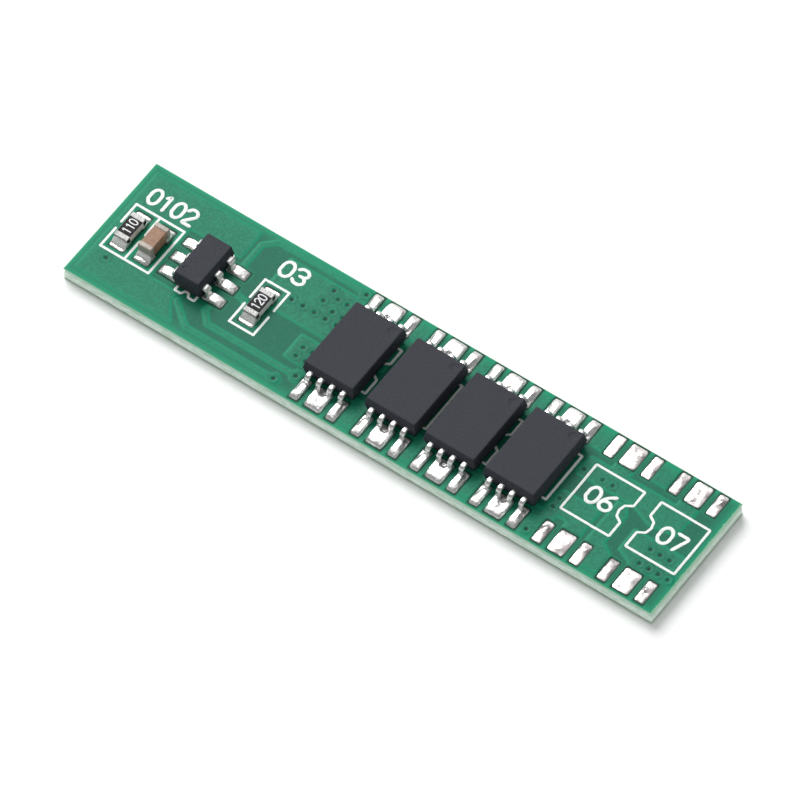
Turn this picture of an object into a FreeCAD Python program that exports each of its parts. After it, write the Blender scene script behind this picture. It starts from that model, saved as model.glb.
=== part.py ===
import FreeCAD, Part
import math
import os
import re
import Sketcher
from FreeCAD import Placement, Rotation, Vector

# Single-cell battery management board, in millimetres.
# A narrow printed board carries a six-lead controller, four eight-lead dual MOSFETs, two chip
# resistors and a chip capacitor. Two more MOSFET places are left unfitted, with tinned pads.
# Positions named from_left and from_front are dimensioned from the board's left edge, at the
# controller end, and from its front edge. The origin is under the middle of the board, on the
# plane of the three terminal pads that it rests on. +X is along the board and +Z is up.

SIZES = {
    # Board and its layers
    "board_end_margin": 2.0,
    "board_back_margin": 0.09,
    "laminate_thickness": 0.7,
    "copper_thickness": 0.035,
    "copper_edge_gap": 0.15,
    "mask_thickness": 0.02,
    "mask_side_cover": 0.03,
    "mask_opening_gap": 0.04,
    "legend_thickness": 0.015,
    "legend_line": 0.15,
    # Plated holes
    "via_radius": 0.15,
    "via_flats": 8,
    "via_land_radius": 0.29,
    "via_clearance": 0.2,
    # Underside terminals
    "terminal_coat": 0.04,
    "terminal_width": 5.6,
    "pour_margin": 0.4,
    "positive_from_left": 3.8,
    "positive_length": 3.6,
    "positive_pour_end": 6.4,
    "battery_negative_from_left": 15.5,
    "battery_negative_length": 4.0,
    "battery_negative_pour_start": 7.0,
    "battery_negative_pour_end": 18.2,
    "load_negative_from_left": 30.45,
    "load_negative_length": 2.7,
    "load_negative_pour_start": 18.8,
    # Dual MOSFET package and its places
    "mosfet_1_from_left": 14.5,
    "mosfet_2_from_left": 18.1,
    "mosfet_3_from_left": 21.53,
    "mosfet_4_from_left": 24.97,
    "spare_1_from_left": 28.58,
    "spare_2_from_left": 32.3,
    "mosfet_from_front": 3.8,
    "mosfet_row_length": 3.0,
    "mosfet_body_span": 4.4,
    "mosfet_body_height": 0.95,
    "mosfet_standoff": 0.1,
    "mosfet_parting_height": 0.55,
    "mosfet_draft": 10.0,
    "mosfet_lead_pitch": 0.65,
    "mosfet_lead_width": 0.27,
    "mosfet_lead_thickness": 0.15,
    "mosfet_lead_span": 6.4,
    "mosfet_foot_length": 0.5,
    "mosfet_bend_radius": 0.1,
    "mosfet_lead_inset": 0.3,
    "mosfet_dimple_radius": 0.25,
    "mosfet_dimple_side": 1.0,
    "mosfet_dimple_end": 1.65,
    "mosfet_pad_offset": 2.935,
    "mosfet_pad_length": 1.35,
    "mosfet_single_pad_width": 0.55,
    "mosfet_single_pad_side": 1.08,
    "mosfet_shared_pad_width": 0.95,
    "spare_coat": 0.05,
    "spare_coat_bevel": 0.08,
    # Controller package and its place
    "controller_from_left": 5.7,
    "controller_from_front": 3.65,
    "controller_row_length": 2.9,
    "controller_body_span": 1.6,
    "controller_body_height": 1.1,
    "controller_standoff": 0.05,
    "controller_parting_height": 0.6,
    "controller_draft": 8.0,
    "controller_lead_pitch": 0.97,
    "controller_lead_width": 0.42,
    "controller_lead_thickness": 0.13,
    "controller_lead_span": 2.8,
    "controller_foot_length": 0.27,
    "controller_bend_radius": 0.07,
    "controller_lead_inset": 0.2,
    "controller_dimple_radius": 0.13,
    "controller_dimple_side": 0.9,
    "controller_dimple_end": 0.4,
    "controller_pad_offset": 1.3,
    "controller_pad_length": 1.2,
    "controller_pad_width": 0.6,
    "dimple_depth": 0.04,
    # Chip resistors and capacitor
    "resistor_1_from_left": 1.38,
    "resistor_2_from_left": 9.04,
    "capacitor_from_left": 2.82,
    "chip_from_front": 3.55,
    "chip_length": 1.6,
    "chip_width": 0.8,
    "resistor_height": 0.45,
    "resistor_coat_thickness": 0.03,
    "resistor_coat_margin": 0.02,
    "capacitor_height": 0.8,
    "chip_terminal_length": 0.3,
    "chip_terminal_thickness": 0.03,
    "capacitor_edge_bevel": 0.07,
    "chip_pad_offset": 0.8,
    "chip_pad_length": 0.82,
    "chip_pad_width": 0.86,
    # Solder
    "solder_film": 0.03,
    "lead_fillet_rise": 0.11,
    "lead_fillet_land": 0.05,
    "chip_fillet_rise": 0.3,
    "chip_fillet_land": 0.06,
    # Printed outlines
    "mosfet_legend_shift_right": 0.2,
    "mosfet_legend_shift_back": 0.11,
    "mosfet_legend_length": 2.77,
    "mosfet_legend_width": 2.97,
    "notch_depth": 0.44,
    "notch_mouth": 1.13,
    "notch_floor": 0.45,
    "controller_legend_half_width": 0.575,
    "controller_legend_half_length": 1.57,
    "controller_notch_width": 0.45,
    "controller_notch_depth": 0.22,
    "chip_legend_half_width": 0.71,
    "chip_legend_half_length": 1.46,
    "chip_legend_gap": 0.46,
    # Copper seen through the solder mask
    "track_width": 0.2,
    "left_pour_end": 3.62,
    "left_pour_waist": 1.95,
    "left_pour_shoulder": 5.35,
    "main_pour_start": 8.65,
    "main_pour_front": 3.85,
    "main_pour_back": 6.65,
    "gate_patch_start": 11.65,
    "gate_patch_front": 2.0,
    "gate_patch_back": 3.42,
    "bridge_front_depth": 1.9,
    "bridge_back_depth": 1.35,
    "spare_channel": 0.45,
}

# Rows of plated holes: the first hole's place from the left and the front edge, the number of
# holes and the step from one to the next along the board.
VIA_ROWS = {
    "positive": (1.33, 1.67, 1, 0.0),
    "gate_back": (12.82, 7.05, 1, 0.0),
    "gate_front": (12.8, 1.35, 1, 0.0),
    "sense": (12.0, 0.63, 1, 0.0),
    "main_first": (10.05, 4.8, 5, 0.66),
    "main_second": (12.08, 5.32, 2, 0.6),
    "main_third": (11.33, 5.6, 1, 0.0),
    "main_fourth": (11.88, 6.05, 2, 0.54),
    "main_fifth": (11.42, 6.35, 1, 0.0),
    "patch_first": (12.13, 2.29, 2, 0.55),
    "patch_second": (12.13, 2.87, 2, 0.55),
    "middle_first": (27.05, 2.3, 1, 0.0),
    "middle_second": (27.05, 2.85, 1, 0.0),
    "middle_third": (27.05, 4.85, 1, 0.0),
    "middle_fourth": (28.13, 4.85, 2, 0.57),
    "middle_fifth": (26.75, 0.55, 1, 0.0),
    "end_first": (32.2, 2.93, 3, 0.54),
    "end_second": (32.2, 2.0, 4, 0.54),
}

for row_name, (row_left, row_front, row_count, row_step) in VIA_ROWS.items():
    SIZES[f"via_{row_name}_from_left"] = row_left
    SIZES[f"via_{row_name}_from_front"] = row_front
    if row_count > 1:
        SIZES[f"via_{row_name}_step"] = row_step

# The board's length and width follow from the row of packages that it carries
SIZES["board_length"] = "=spare_2_from_left + board_end_margin"
SIZES["board_width"] = "=mosfet_from_front + mosfet_pad_offset + mosfet_pad_length / 2 + board_back_margin"

doc = FreeCAD.newDocument("battery_management_board")
sheet = doc.addObject("Spreadsheet::Sheet", "Dimensions")
for row, (alias, value) in enumerate(SIZES.items(), start=1):
    sheet.set(f"A{row}", alias.replace("_", " "))
    sheet.set(f"B{row}", str(value))
    sheet.setAlias(f"B{row}", alias)
doc.recompute()

nodes = {}


def tied(formula):
    """The formula with each size name pointing at its cell in the sheet."""
    return re.sub(
        r"[a-z_][a-z_0-9]*",
        lambda word: f"Dimensions.{word.group()}" if word.group() in SIZES else word.group(),
        formula,
    )


def measure(formula):
    """The value of a formula of size names, in millimetres or degrees."""
    return float(sheet.evalExpression(tied(formula)))


def bind(item, **formulas):
    """Tie properties of an object to formulas of size names."""
    for name, formula in formulas.items():
        item.setExpression(name, tied(formula))


def node(item, name):
    """Make an object one of the sub-parts that are written out."""
    item.Label = name
    nodes[name] = item
    return item


# Heights of the layers, from the terminal pads up
LAMINATE_BOTTOM = "(copper_thickness + terminal_coat)"
LAMINATE_TOP = f"({LAMINATE_BOTTOM} + laminate_thickness)"
COPPER_TOP = f"({LAMINATE_TOP} + copper_thickness)"
FOOT_PLANE = f"({COPPER_TOP} + solder_film)"


def across(formula):
    """X of a place given from the board's left edge."""
    return f"{formula} - board_length / 2"


def along(formula):
    """Y of a place given from the board's front edge."""
    return f"{formula} - board_width / 2"


def place(item, x, y, z, turn=0):
    """Tie an object's placement to formulas, turned about +Z."""
    item.Placement = Placement(Vector(), Rotation(Vector(0, 0, 1), turn))
    item.setExpression("Placement.Base.x", tied(x))
    item.setExpression("Placement.Base.y", tied(y))
    item.setExpression("Placement.Base.z", tied(z))


def block(name, x, y, z, length, width, height):
    """A box centred on x and y, with its underside at z."""
    box = doc.addObject("Part::Box", name)
    bind(box, Length=length, Width=width, Height=height)
    place(box, f"{x} - ({length}) / 2", f"{y} - ({width}) / 2", z)
    return box


def origin_item(body, role):
    """One of a body's own origin planes or axes."""
    return next(item for item in body.Origin.OriginFeatures if item.Role == role)


def sketch_on(body, role, name, lift="0"):
    """A sketch on one of the body's origin planes, lifted along that plane's normal."""
    sketch = body.newObject("Sketcher::SketchObject", name)
    sketch.AttachmentSupport = [(origin_item(body, role), "")]
    sketch.MapMode = "FlatFace"
    sketch.setExpression("AttachmentOffset.Base.z", tied(lift))
    return sketch


def dimension(sketch, kind, name, formula, *points):
    """A driving dimension, tied to a formula."""
    index = sketch.addConstraint(Sketcher.Constraint(kind, *points, measure(formula)))
    sketch.renameConstraint(index, name)
    sketch.setExpression(f"Constraints.{name}", tied(formula))


def centred_rectangle(sketch, length, width):
    """A rectangle about the sketch's origin."""
    half_x = measure(length) / 2
    half_y = measure(width) / 2
    corners = [Vector(-half_x, -half_y, 0), Vector(half_x, -half_y, 0),
               Vector(half_x, half_y, 0), Vector(-half_x, half_y, 0)]
    for index in range(4):
        sketch.addGeometry(Part.LineSegment(corners[index], corners[(index + 1) % 4]), False)
    for index in range(4):
        sketch.addConstraint(Sketcher.Constraint("Coincident", index, 2, (index + 1) % 4, 1))
    for index, kind in enumerate(["Horizontal", "Vertical", "Horizontal", "Vertical"]):
        sketch.addConstraint(Sketcher.Constraint(kind, index))
    sketch.addConstraint(Sketcher.Constraint("Symmetric", 0, 1, 1, 2, -1, 1))
    dimension(sketch, "DistanceX", "length", length, 0, 1, 0, 2)
    dimension(sketch, "DistanceY", "width", width, 1, 1, 1, 2)


def padded(body, sketch, name, length, **settings):
    """A pad of a sketch, added to the body."""
    pad = body.newObject("PartDesign::Pad", name)
    pad.Profile = sketch
    for setting, value in settings.items():
        setattr(pad, setting, value)
    bind(pad, Length=length)
    return pad


# Packages. In a package's own frame the leads stand in two rows along X, out to +Y and -Y, and
# z = 0 is the underside of their feet.
KINDS = {
    "mosfet": {"leads": 4, "dimple_sign": (1, 1)},
    "controller": {"leads": 3, "dimple_sign": (-1, 1)},
}


def moulded_body(name, kind):
    """A moulded package body with draft above and below the parting line, and a pin-one dimple."""
    body = doc.addObject("PartDesign::Body", f"{name}_moulding")
    outline = sketch_on(body, "XY_Plane", f"{name}_parting_outline", f"{kind}_parting_height")
    centred_rectangle(outline, f"{kind}_row_length", f"{kind}_body_span")
    top = f"({kind}_standoff + {kind}_body_height)"
    upper = padded(body, outline, f"{name}_upper", f"{top} - {kind}_parting_height")
    bind(upper, TaperAngle=f"-{kind}_draft")
    lower = padded(body, outline, f"{name}_lower", f"{kind}_parting_height - {kind}_standoff", Reversed=True)
    bind(lower, TaperAngle=f"-{kind}_draft")
    mark = sketch_on(body, "XY_Plane", f"{name}_dimple_outline", top)
    side, end = KINDS[kind]["dimple_sign"]
    centre = Vector(side * measure(f"{kind}_dimple_side"), end * measure(f"{kind}_dimple_end"), 0)
    radius = measure(f"{kind}_dimple_radius")
    circle = mark.addGeometry(Part.Circle(centre, Vector(0, 0, 1), radius), False)
    dimension(mark, "Radius", "radius", f"{kind}_dimple_radius", circle)
    from_centre = [(-1, 1), (circle, 3)]
    dimension(mark, "DistanceX", "side", f"{kind}_dimple_side", *sum(from_centre[::side], ()))
    dimension(mark, "DistanceY", "end", f"{kind}_dimple_end", *sum(from_centre[::end], ()))
    dimple = body.newObject("PartDesign::Pocket", f"{name}_dimple")
    dimple.Profile = mark
    bind(dimple, Length="dimple_depth")
    body.Tip = dimple
    return body


def gull_wing(sketch, kind, side):
    """One lead's bent section on the +Y or -Y side: shoulder, bend, leg, bend and foot."""
    thick = measure(f"{kind}_lead_thickness")
    bend = measure(f"{kind}_bend_radius")
    root = measure(f"{kind}_body_span / 2 - {kind}_lead_inset")
    toe = measure(f"{kind}_lead_span / 2")
    heel = toe - measure(f"{kind}_foot_length")
    knee = heel - 2 * bend - thick
    shoulder = measure(f"{kind}_parting_height") - thick / 2
    upper_bend = (knee, shoulder - bend)
    lower_bend = (heel, bend + thick)
    corners = [
        (root, shoulder), (knee, shoulder), (knee + bend, shoulder - bend), (knee + bend, bend + thick),
        (heel, 0), (toe, 0), (toe, thick), (heel, thick),
        (heel - bend, bend + thick), (knee + bend + thick, shoulder - bend),
        (knee, shoulder + thick), (root, shoulder + thick),
    ]
    bends = {1: (upper_bend, bend), 3: (lower_bend, bend + thick), 7: (lower_bend, bend), 9: (upper_bend, bend + thick)}
    ends = []
    for index, corner in enumerate(corners):
        start = Vector(side * corner[0], corner[1], 0)
        after = corners[(index + 1) % len(corners)]
        stop = Vector(side * after[0], after[1], 0)
        if index in bends:
            (centre_y, centre_z), radius = bends[index]
            centre = Vector(side * centre_y, centre_z, 0)
            first = math.atan2(start.y - centre.y, start.x - centre.x)
            last = math.atan2(stop.y - centre.y, stop.x - centre.x)
            forward = (last - first) % (2 * math.pi) < math.pi
            if not forward:
                first, last = last, first
            circle = Part.Circle(centre, Vector(0, 0, 1), radius)
            edge = sketch.addGeometry(Part.ArcOfCircle(circle, first, last), False)
            ends.append((edge, 1, 2) if forward else (edge, 2, 1))
        else:
            edge = sketch.addGeometry(Part.LineSegment(start, stop), False)
            ends.append((edge, 1, 2))
    for index, (edge, _, stop) in enumerate(ends):
        after = (index + 1) % len(ends)
        smooth = (index in bends) != (after in bends)
        joint = "Tangent" if smooth else "Coincident"
        sketch.addConstraint(Sketcher.Constraint(joint, edge, stop, ends[after][0], ends[after][1]))
    for index in (0, 4, 6):
        sketch.addConstraint(Sketcher.Constraint("Horizontal", ends[index][0]))
    for index in (2, 5, 11):
        sketch.addConstraint(Sketcher.Constraint("Vertical", ends[index][0]))
    sketch.addConstraint(Sketcher.Constraint("Coincident", ends[1][0], 3, ends[9][0], 3))
    sketch.addConstraint(Sketcher.Constraint("Coincident", ends[3][0], 3, ends[7][0], 3))
    sketch.addConstraint(Sketcher.Constraint("PointOnObject", ends[4][0], 1, -1))
    tag = "back" if side > 0 else "front"
    dimension(sketch, "Radius", f"{tag}_upper_bend", f"{kind}_bend_radius", ends[1][0])
    dimension(sketch, "Radius", f"{tag}_lower_bend", f"{kind}_bend_radius", ends[7][0])
    dimension(sketch, "DistanceY", f"{tag}_thickness", f"{kind}_lead_thickness", ends[5][0], 1, ends[5][0], 2)
    dimension(sketch, "DistanceY", f"{tag}_shoulder", f"{kind}_parting_height - {kind}_lead_thickness / 2",
              -1, 1, ends[0][0], 1)
    reach = {
        "root": ((ends[0][0], 1), f"{kind}_body_span / 2 - {kind}_lead_inset"),
        "toe": ((ends[5][0], 1), f"{kind}_lead_span / 2"),
        "heel": ((ends[4][0], 1), f"{kind}_lead_span / 2 - {kind}_foot_length"),
    }
    for word, (point, formula) in reach.items():
        pair = [(-1, 1), point][::side]
        dimension(sketch, "DistanceX", f"{tag}_{word}", formula, *sum(pair, ()))


def gull_wing_leads(name, kind):
    """Both rows of a package's leads."""
    count = KINDS[kind]["leads"]
    row = f"{kind}_lead_pitch * {count - 1}"
    body = doc.addObject("PartDesign::Body", f"{name}_lead_rows")
    section = sketch_on(body, "YZ_Plane", f"{name}_lead_section", f"-{row} / 2")
    for side in (1, -1):
        gull_wing(section, kind, side)
    first = padded(body, section, f"{name}_first_leads", f"{kind}_lead_width", SideType="Symmetric")
    doc.recompute()
    pattern = body.newObject("PartDesign::LinearPattern", f"{name}_lead_pattern")
    pattern.Originals = [first]
    pattern.Direction = (origin_item(body, "X_Axis"), [""])
    pattern.Occurrences = count
    bind(pattern, Length=row)
    body.Tip = pattern
    return body


def solder_fillet(name, pad, land, bottom, top):
    """A sloped fillet of solder from a pad up to a smaller land.

    pad and land are each the formulas of centre x, centre y, size along x and size along y.
    """
    pad_x, pad_y, pad_length, pad_width = pad
    land_x, land_y, land_length, land_width = land
    wedge = doc.addObject("Part::Wedge", name)
    wedge.Placement = Placement(Vector(), Rotation(Vector(1, 0, 0), 90))
    bind(wedge, Ymin=bottom, Ymax=top,
         Xmin=f"{pad_x} - ({pad_length}) / 2", Xmax=f"{pad_x} + ({pad_length}) / 2",
         Zmin=f"-({pad_y}) - ({pad_width}) / 2", Zmax=f"-({pad_y}) + ({pad_width}) / 2",
         X2min=f"{land_x} - ({land_length}) / 2", X2max=f"{land_x} + ({land_length}) / 2",
         Z2min=f"-({land_y}) - ({land_width}) / 2", Z2max=f"-({land_y}) + ({land_width}) / 2")
    return wedge


def package_pads(kind):
    """Name, centre x, centre y, length along x, width along y and leads held, for each pad of a package."""
    pads = []
    for side, word in ((-1, "front"), (1, "back")):
        y = f"{side} * {kind}_pad_offset"
        if kind == "mosfet":
            for end, tag in ((-1, "left"), (1, "right")):
                pads.append((f"{word}_{tag}", f"{end} * mosfet_single_pad_side", y, "mosfet_single_pad_width",
                             "mosfet_pad_length", [1.5 * end]))
            pads.append((f"{word}_middle", "0", y, "mosfet_shared_pad_width", "mosfet_pad_length", [-0.5, 0.5]))
        else:
            for step in (-1, 0, 1):
                pads.append((f"{word}_{step + 2}", f"{step} * controller_lead_pitch", y, "controller_pad_width",
                             "controller_pad_length", [step]))
    return pads


def package_solder(name, kind):
    """The fillets that hold a package's feet, before its leads are cut from them."""
    joints = []
    for tag, x, y, length, width, held in package_pads(kind):
        side = -1 if tag.startswith("front") else 1
        middle = sum(held) / len(held)
        spread = held[-1] - held[0]
        land = (f"{middle} * {kind}_lead_pitch",
                f"{side} * ({kind}_lead_span / 2 - {kind}_foot_length / 2)",
                f"{spread} * {kind}_lead_pitch + {kind}_lead_width + 2 * lead_fillet_land",
                f"{kind}_foot_length + 2 * lead_fillet_land")
        joints.append(solder_fillet(f"{name}_fillet_{tag}", (x, y, length, width), land,
                                    "-solder_film", "lead_fillet_rise"))
    group = doc.addObject("Part::Compound", f"{name}_fillets")
    group.Links = joints
    return group


def seated(name, base, tool):
    """The base with an exact seat cut in it for the tool."""
    cut = doc.addObject("Part::Cut", name)
    cut.Base = base
    cut.Tool = tool
    return cut


def package(name, kind, x, y, turn):
    """A package's body, leads and solder, set on its pads."""
    moulding = moulded_body(name, kind)
    leads = gull_wing_leads(name, kind)
    solder = package_solder(name, kind)
    for item in (moulding, leads, solder):
        place(item, x, y, FOOT_PLANE, turn)
    node(seated(f"{name}_body_seated", moulding, leads), f"{name}_body")
    node(leads, f"{name}_leads")
    node(seated(f"{name}_solder_seated", solder, leads), f"{name}_solder")


def bevelled_block(name, length, width, height, bevel):
    """A block about the origin with all its edges bevelled."""
    body = doc.addObject("PartDesign::Body", name)
    outline = sketch_on(body, "XY_Plane", f"{name}_outline")
    centred_rectangle(outline, length, width)
    pad = padded(body, outline, f"{name}_pad", height)
    doc.recompute()
    edges = body.newObject("PartDesign::Chamfer", f"{name}_edges")
    edges.Base = (pad, [f"Edge{index + 1}" for index in range(len(pad.Shape.Edges))])
    bind(edges, Size=bevel)
    body.Tip = edges
    return body


def chip_pads():
    """Centre y of a chip's two pads."""
    return [("front", "-chip_pad_offset"), ("back", "chip_pad_offset")]


def chip_solder(name, x, chip):
    """The two end fillets of a chip, with the chip's own shape cut from them."""
    joints = []
    for word, y in chip_pads():
        side = "-1" if word == "front" else "1"
        land = ("0", f"{side} * (chip_length - chip_terminal_length) / 2", "chip_width + 2 * chip_fillet_land",
                "chip_terminal_length + 2 * chip_fillet_land")
        joints.append(solder_fillet(f"{name}_fillet_{word}", ("0", y, "chip_pad_width", "chip_pad_length"), land,
                                    "-solder_film", "chip_fillet_rise"))
    group = doc.addObject("Part::Compound", f"{name}_fillets")
    group.Links = joints
    place(group, across(x), along("chip_from_front"), FOOT_PLANE)
    node(seated(f"{name}_solder_seated", group, chip), f"{name}_solder")


def chip_resistor(name, x):
    """A thick-film chip resistor: ceramic substrate, dark overcoat, wrapped end terminals and solder."""
    centre = (across(x), along("chip_from_front"))
    wrap = "chip_terminal_thickness"
    node(block(f"{name}_ceramic", *centre, f"{FOOT_PLANE} + {wrap}", "chip_width",
               f"chip_length - 2 * {wrap}", f"resistor_height - 2 * {wrap}"), f"{name}_substrate")
    node(block(f"{name}_glaze", *centre, f"{FOOT_PLANE} + resistor_height - {wrap}",
               "chip_width - 2 * resistor_coat_margin", "chip_length - 2 * chip_terminal_length",
               "resistor_coat_thickness"), f"{name}_overcoat")
    wraps = doc.addObject("Part::Compound", f"{name}_wraps")
    wraps.Links = [
        block(f"{name}_wrap_{word}", centre[0],
              f"{centre[1]} + {side} * (chip_length - chip_terminal_length) / 2", FOOT_PLANE,
              "chip_width", "chip_terminal_length", "resistor_height")
        for word, side in (("front", -1), ("back", 1))
    ]
    node(seated(f"{name}_terminals_seated", wraps, nodes[f"{name}_substrate"]), f"{name}_terminals")
    envelope = block(f"{name}_envelope", *centre, FOOT_PLANE, "chip_width", "chip_length", "resistor_height")
    chip_solder(name, x, envelope)


def chip_capacitor(name, x):
    """A ceramic chip capacitor: bevelled ceramic block, two dipped end caps and solder."""
    wrap = "chip_terminal_thickness"
    ceramic = bevelled_block(f"{name}_ceramic", f"chip_width - 2 * {wrap}", f"chip_length - 2 * {wrap}",
                            f"capacitor_height - 2 * {wrap}", f"capacitor_edge_bevel - {wrap}")
    envelope = bevelled_block(f"{name}_envelope", "chip_width", "chip_length", "capacitor_height",
                             "capacitor_edge_bevel")
    place(ceramic, across(x), along("chip_from_front"), f"{FOOT_PLANE} + {wrap}")
    place(envelope, across(x), along("chip_from_front"), FOOT_PLANE)
    node(ceramic, f"{name}_ceramic_body")
    ends = doc.addObject("Part::Compound", f"{name}_ends")
    ends.Links = [
        block(f"{name}_end_{word}", across(x),
              f"{along('chip_from_front')} + {side} * (chip_length - chip_terminal_length) / 2", FOOT_PLANE,
              "chip_width", "chip_terminal_length", "capacitor_height")
        for word, side in (("front", -1), ("back", 1))
    ]
    caps = doc.addObject("Part::Common", f"{name}_cap_shapes")
    caps.Base = ends
    caps.Tool = envelope
    node(seated(f"{name}_caps_seated", caps, ceramic), f"{name}_end_caps")
    chip_solder(name, x, envelope)


def spare_place(name, x):
    """The tinned pads of a MOSFET place that is left unfitted."""
    beads = []
    for tag, pad_x, pad_y, length, width, _ in package_pads("mosfet"):
        land = (pad_x, pad_y, f"{length} - 2 * spare_coat_bevel", f"{width} - 2 * spare_coat_bevel")
        beads.append(solder_fillet(f"{name}_bead_{tag}", (pad_x, pad_y, length, width), land, "0", "spare_coat"))
    group = doc.addObject("Part::Compound", f"{name}_beads")
    group.Links = beads
    place(group, across(x), along("mosfet_from_front"), COPPER_TOP)
    node(group, f"{name}_tinned_pads")


# Flat patterns of the board's copper, mask and printed outlines, as faces in the plane z = 0
def spot(x, y):
    """A point given from the board's left and front edges."""
    return Vector(x - measure("board_length") / 2, y - measure("board_width") / 2, 0)


def polygon(points):
    """A flat face from its corners, given from the left and front edges."""
    corners = [spot(*point) for point in points]
    return Part.Face(Part.makePolygon(corners + corners[:1]))


def rectangle(left, front, right, back, grow=0.0):
    """A flat rectangle, grown on all sides."""
    left, front, right, back = left - grow, front - grow, right + grow, back + grow
    return polygon([(left, front), (right, front), (right, back), (left, back)])


def disc(x, y, radius):
    """A flat disc, drawn with few sides to keep the facets down."""
    count = round(measure("via_flats"))
    turns = [2 * math.pi * (index + 0.5) / count for index in range(count)]
    reach = radius / math.cos(math.pi / count)
    return polygon([(x + reach * math.cos(turn), y + reach * math.sin(turn)) for turn in turns])


def track(points, width):
    """A flat line of even width with mitred corners. A route that ends where it starts is a closed loop."""
    closed = points[0] == points[-1]
    steps = [Vector(x2 - x1, y2 - y1, 0).normalize() for (x1, y1), (x2, y2) in zip(points, points[1:])]
    normals = [Vector(-step.y, step.x, 0) for step in steps]
    before = [normals[-1 if closed else 0]] + normals
    after = normals + [normals[0 if closed else -1]]
    edges = []
    for (x, y), first, second in zip(points, before, after):
        mitre = (first + second) * (width / 2 / (1 + first.dot(second)))
        edges.append(((x + mitre.x, y + mitre.y), (x - mitre.x, y - mitre.y)))
    return joined([polygon([*start, *stop[::-1]]) for start, stop in zip(edges, edges[1:])])


def joined(faces):
    """The union of flat faces, with one face for each island."""
    slabs = [face.extrude(Vector(0, 0, 1)) for face in faces]
    merged = slabs[0].fuse(slabs[1:]).removeSplitter() if len(slabs) > 1 else slabs[0]
    return Part.Compound([face for face in merged.Faces if face.BoundBox.ZMax < 0.5])


def raised(flat, bottom, height):
    """A flat pattern given thickness, from the height bottom."""
    lifted = flat.copy()
    lifted.translate(Vector(0, 0, bottom))
    return lifted.extrude(Vector(0, 0, height))


def grown(flat, grow):
    """A flat polygon grown outwards, with its corners kept sharp."""
    return flat.makeOffset2D(grow, join=2) if grow else flat


def via_places():
    """Centres of the plated holes, from the left and front edges."""
    places = []
    for name, (_, _, count, _) in VIA_ROWS.items():
        left = measure(f"via_{name}_from_left")
        front = measure(f"via_{name}_from_front")
        step = measure(f"via_{name}_step") if count > 1 else 0.0
        places += [(left + step * index, front) for index in range(round(count))]
    return places


def via_spot(name):
    """Centre of a row's first plated hole."""
    return measure(f"via_{name}_from_left"), measure(f"via_{name}_from_front")


def pad_rectangles(grow):
    """The faces of every pad on the top, grown on all sides."""
    faces = []
    mosfets = [f"mosfet_{number}" for number in range(1, 5)] + ["spare_1", "spare_2"]
    sites = [("mosfet", f"{name}_from_left", "mosfet_from_front") for name in mosfets]
    sites.append(("controller", "controller_from_left", "controller_from_front"))
    for kind, left, front in sites:
        for _, x, y, length, width, _ in package_pads(kind):
            half_x, half_y = measure(length) / 2, measure(width) / 2
            pad_x, pad_y = measure(x), measure(y)
            if kind == "controller":
                pad_x, pad_y = -pad_y, pad_x
                half_x, half_y = half_y, half_x
            pad_x += measure(left)
            pad_y += measure(front)
            faces.append(rectangle(pad_x - half_x, pad_y - half_y, pad_x + half_x, pad_y + half_y, grow))
    for chip in ("resistor_1", "resistor_2", "capacitor"):
        for _, y in chip_pads():
            x, pad_y = measure(f"{chip}_from_left"), measure(f"chip_from_front + {y}")
            half_x, half_y = measure("chip_pad_width / 2"), measure("chip_pad_length / 2")
            faces.append(rectangle(x - half_x, pad_y - half_y, x + half_x, pad_y + half_y, grow))
    return faces


def top_tracks():
    """The routes of the tracks on the top, from the left and front edges."""
    controller_x, controller_y = measure("controller_from_left"), measure("controller_from_front")
    pad_x = controller_x + measure("controller_pad_offset")
    pitch = measure("controller_lead_pitch")
    gate_back, gate_front, sense = via_spot("gate_back"), via_spot("gate_front"), via_spot("sense")
    chamfer = measure("controller_pad_width")
    back_line = gate_back[1] + measure("track_width") / 2
    resistor = measure("resistor_2_from_left")
    resistor_pad = measure("chip_from_front - chip_pad_offset")
    return [
        [(pad_x, controller_y + pitch), (pad_x, back_line - chamfer), (pad_x + chamfer, back_line),
         (gate_back[0], back_line), gate_back],
        [(pad_x, controller_y - pitch), (pad_x, gate_front[1] + chamfer), (pad_x + chamfer, gate_front[1]), gate_front],
        [(controller_x - measure("track_width"), controller_y - 2 * pitch),
         (pad_x - measure("track_width"), sense[1]), sense],
        [(pad_x, controller_y), (pad_x + 2 * chamfer, controller_y - measure("track_width")),
         (resistor, resistor_pad)],
    ]


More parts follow.
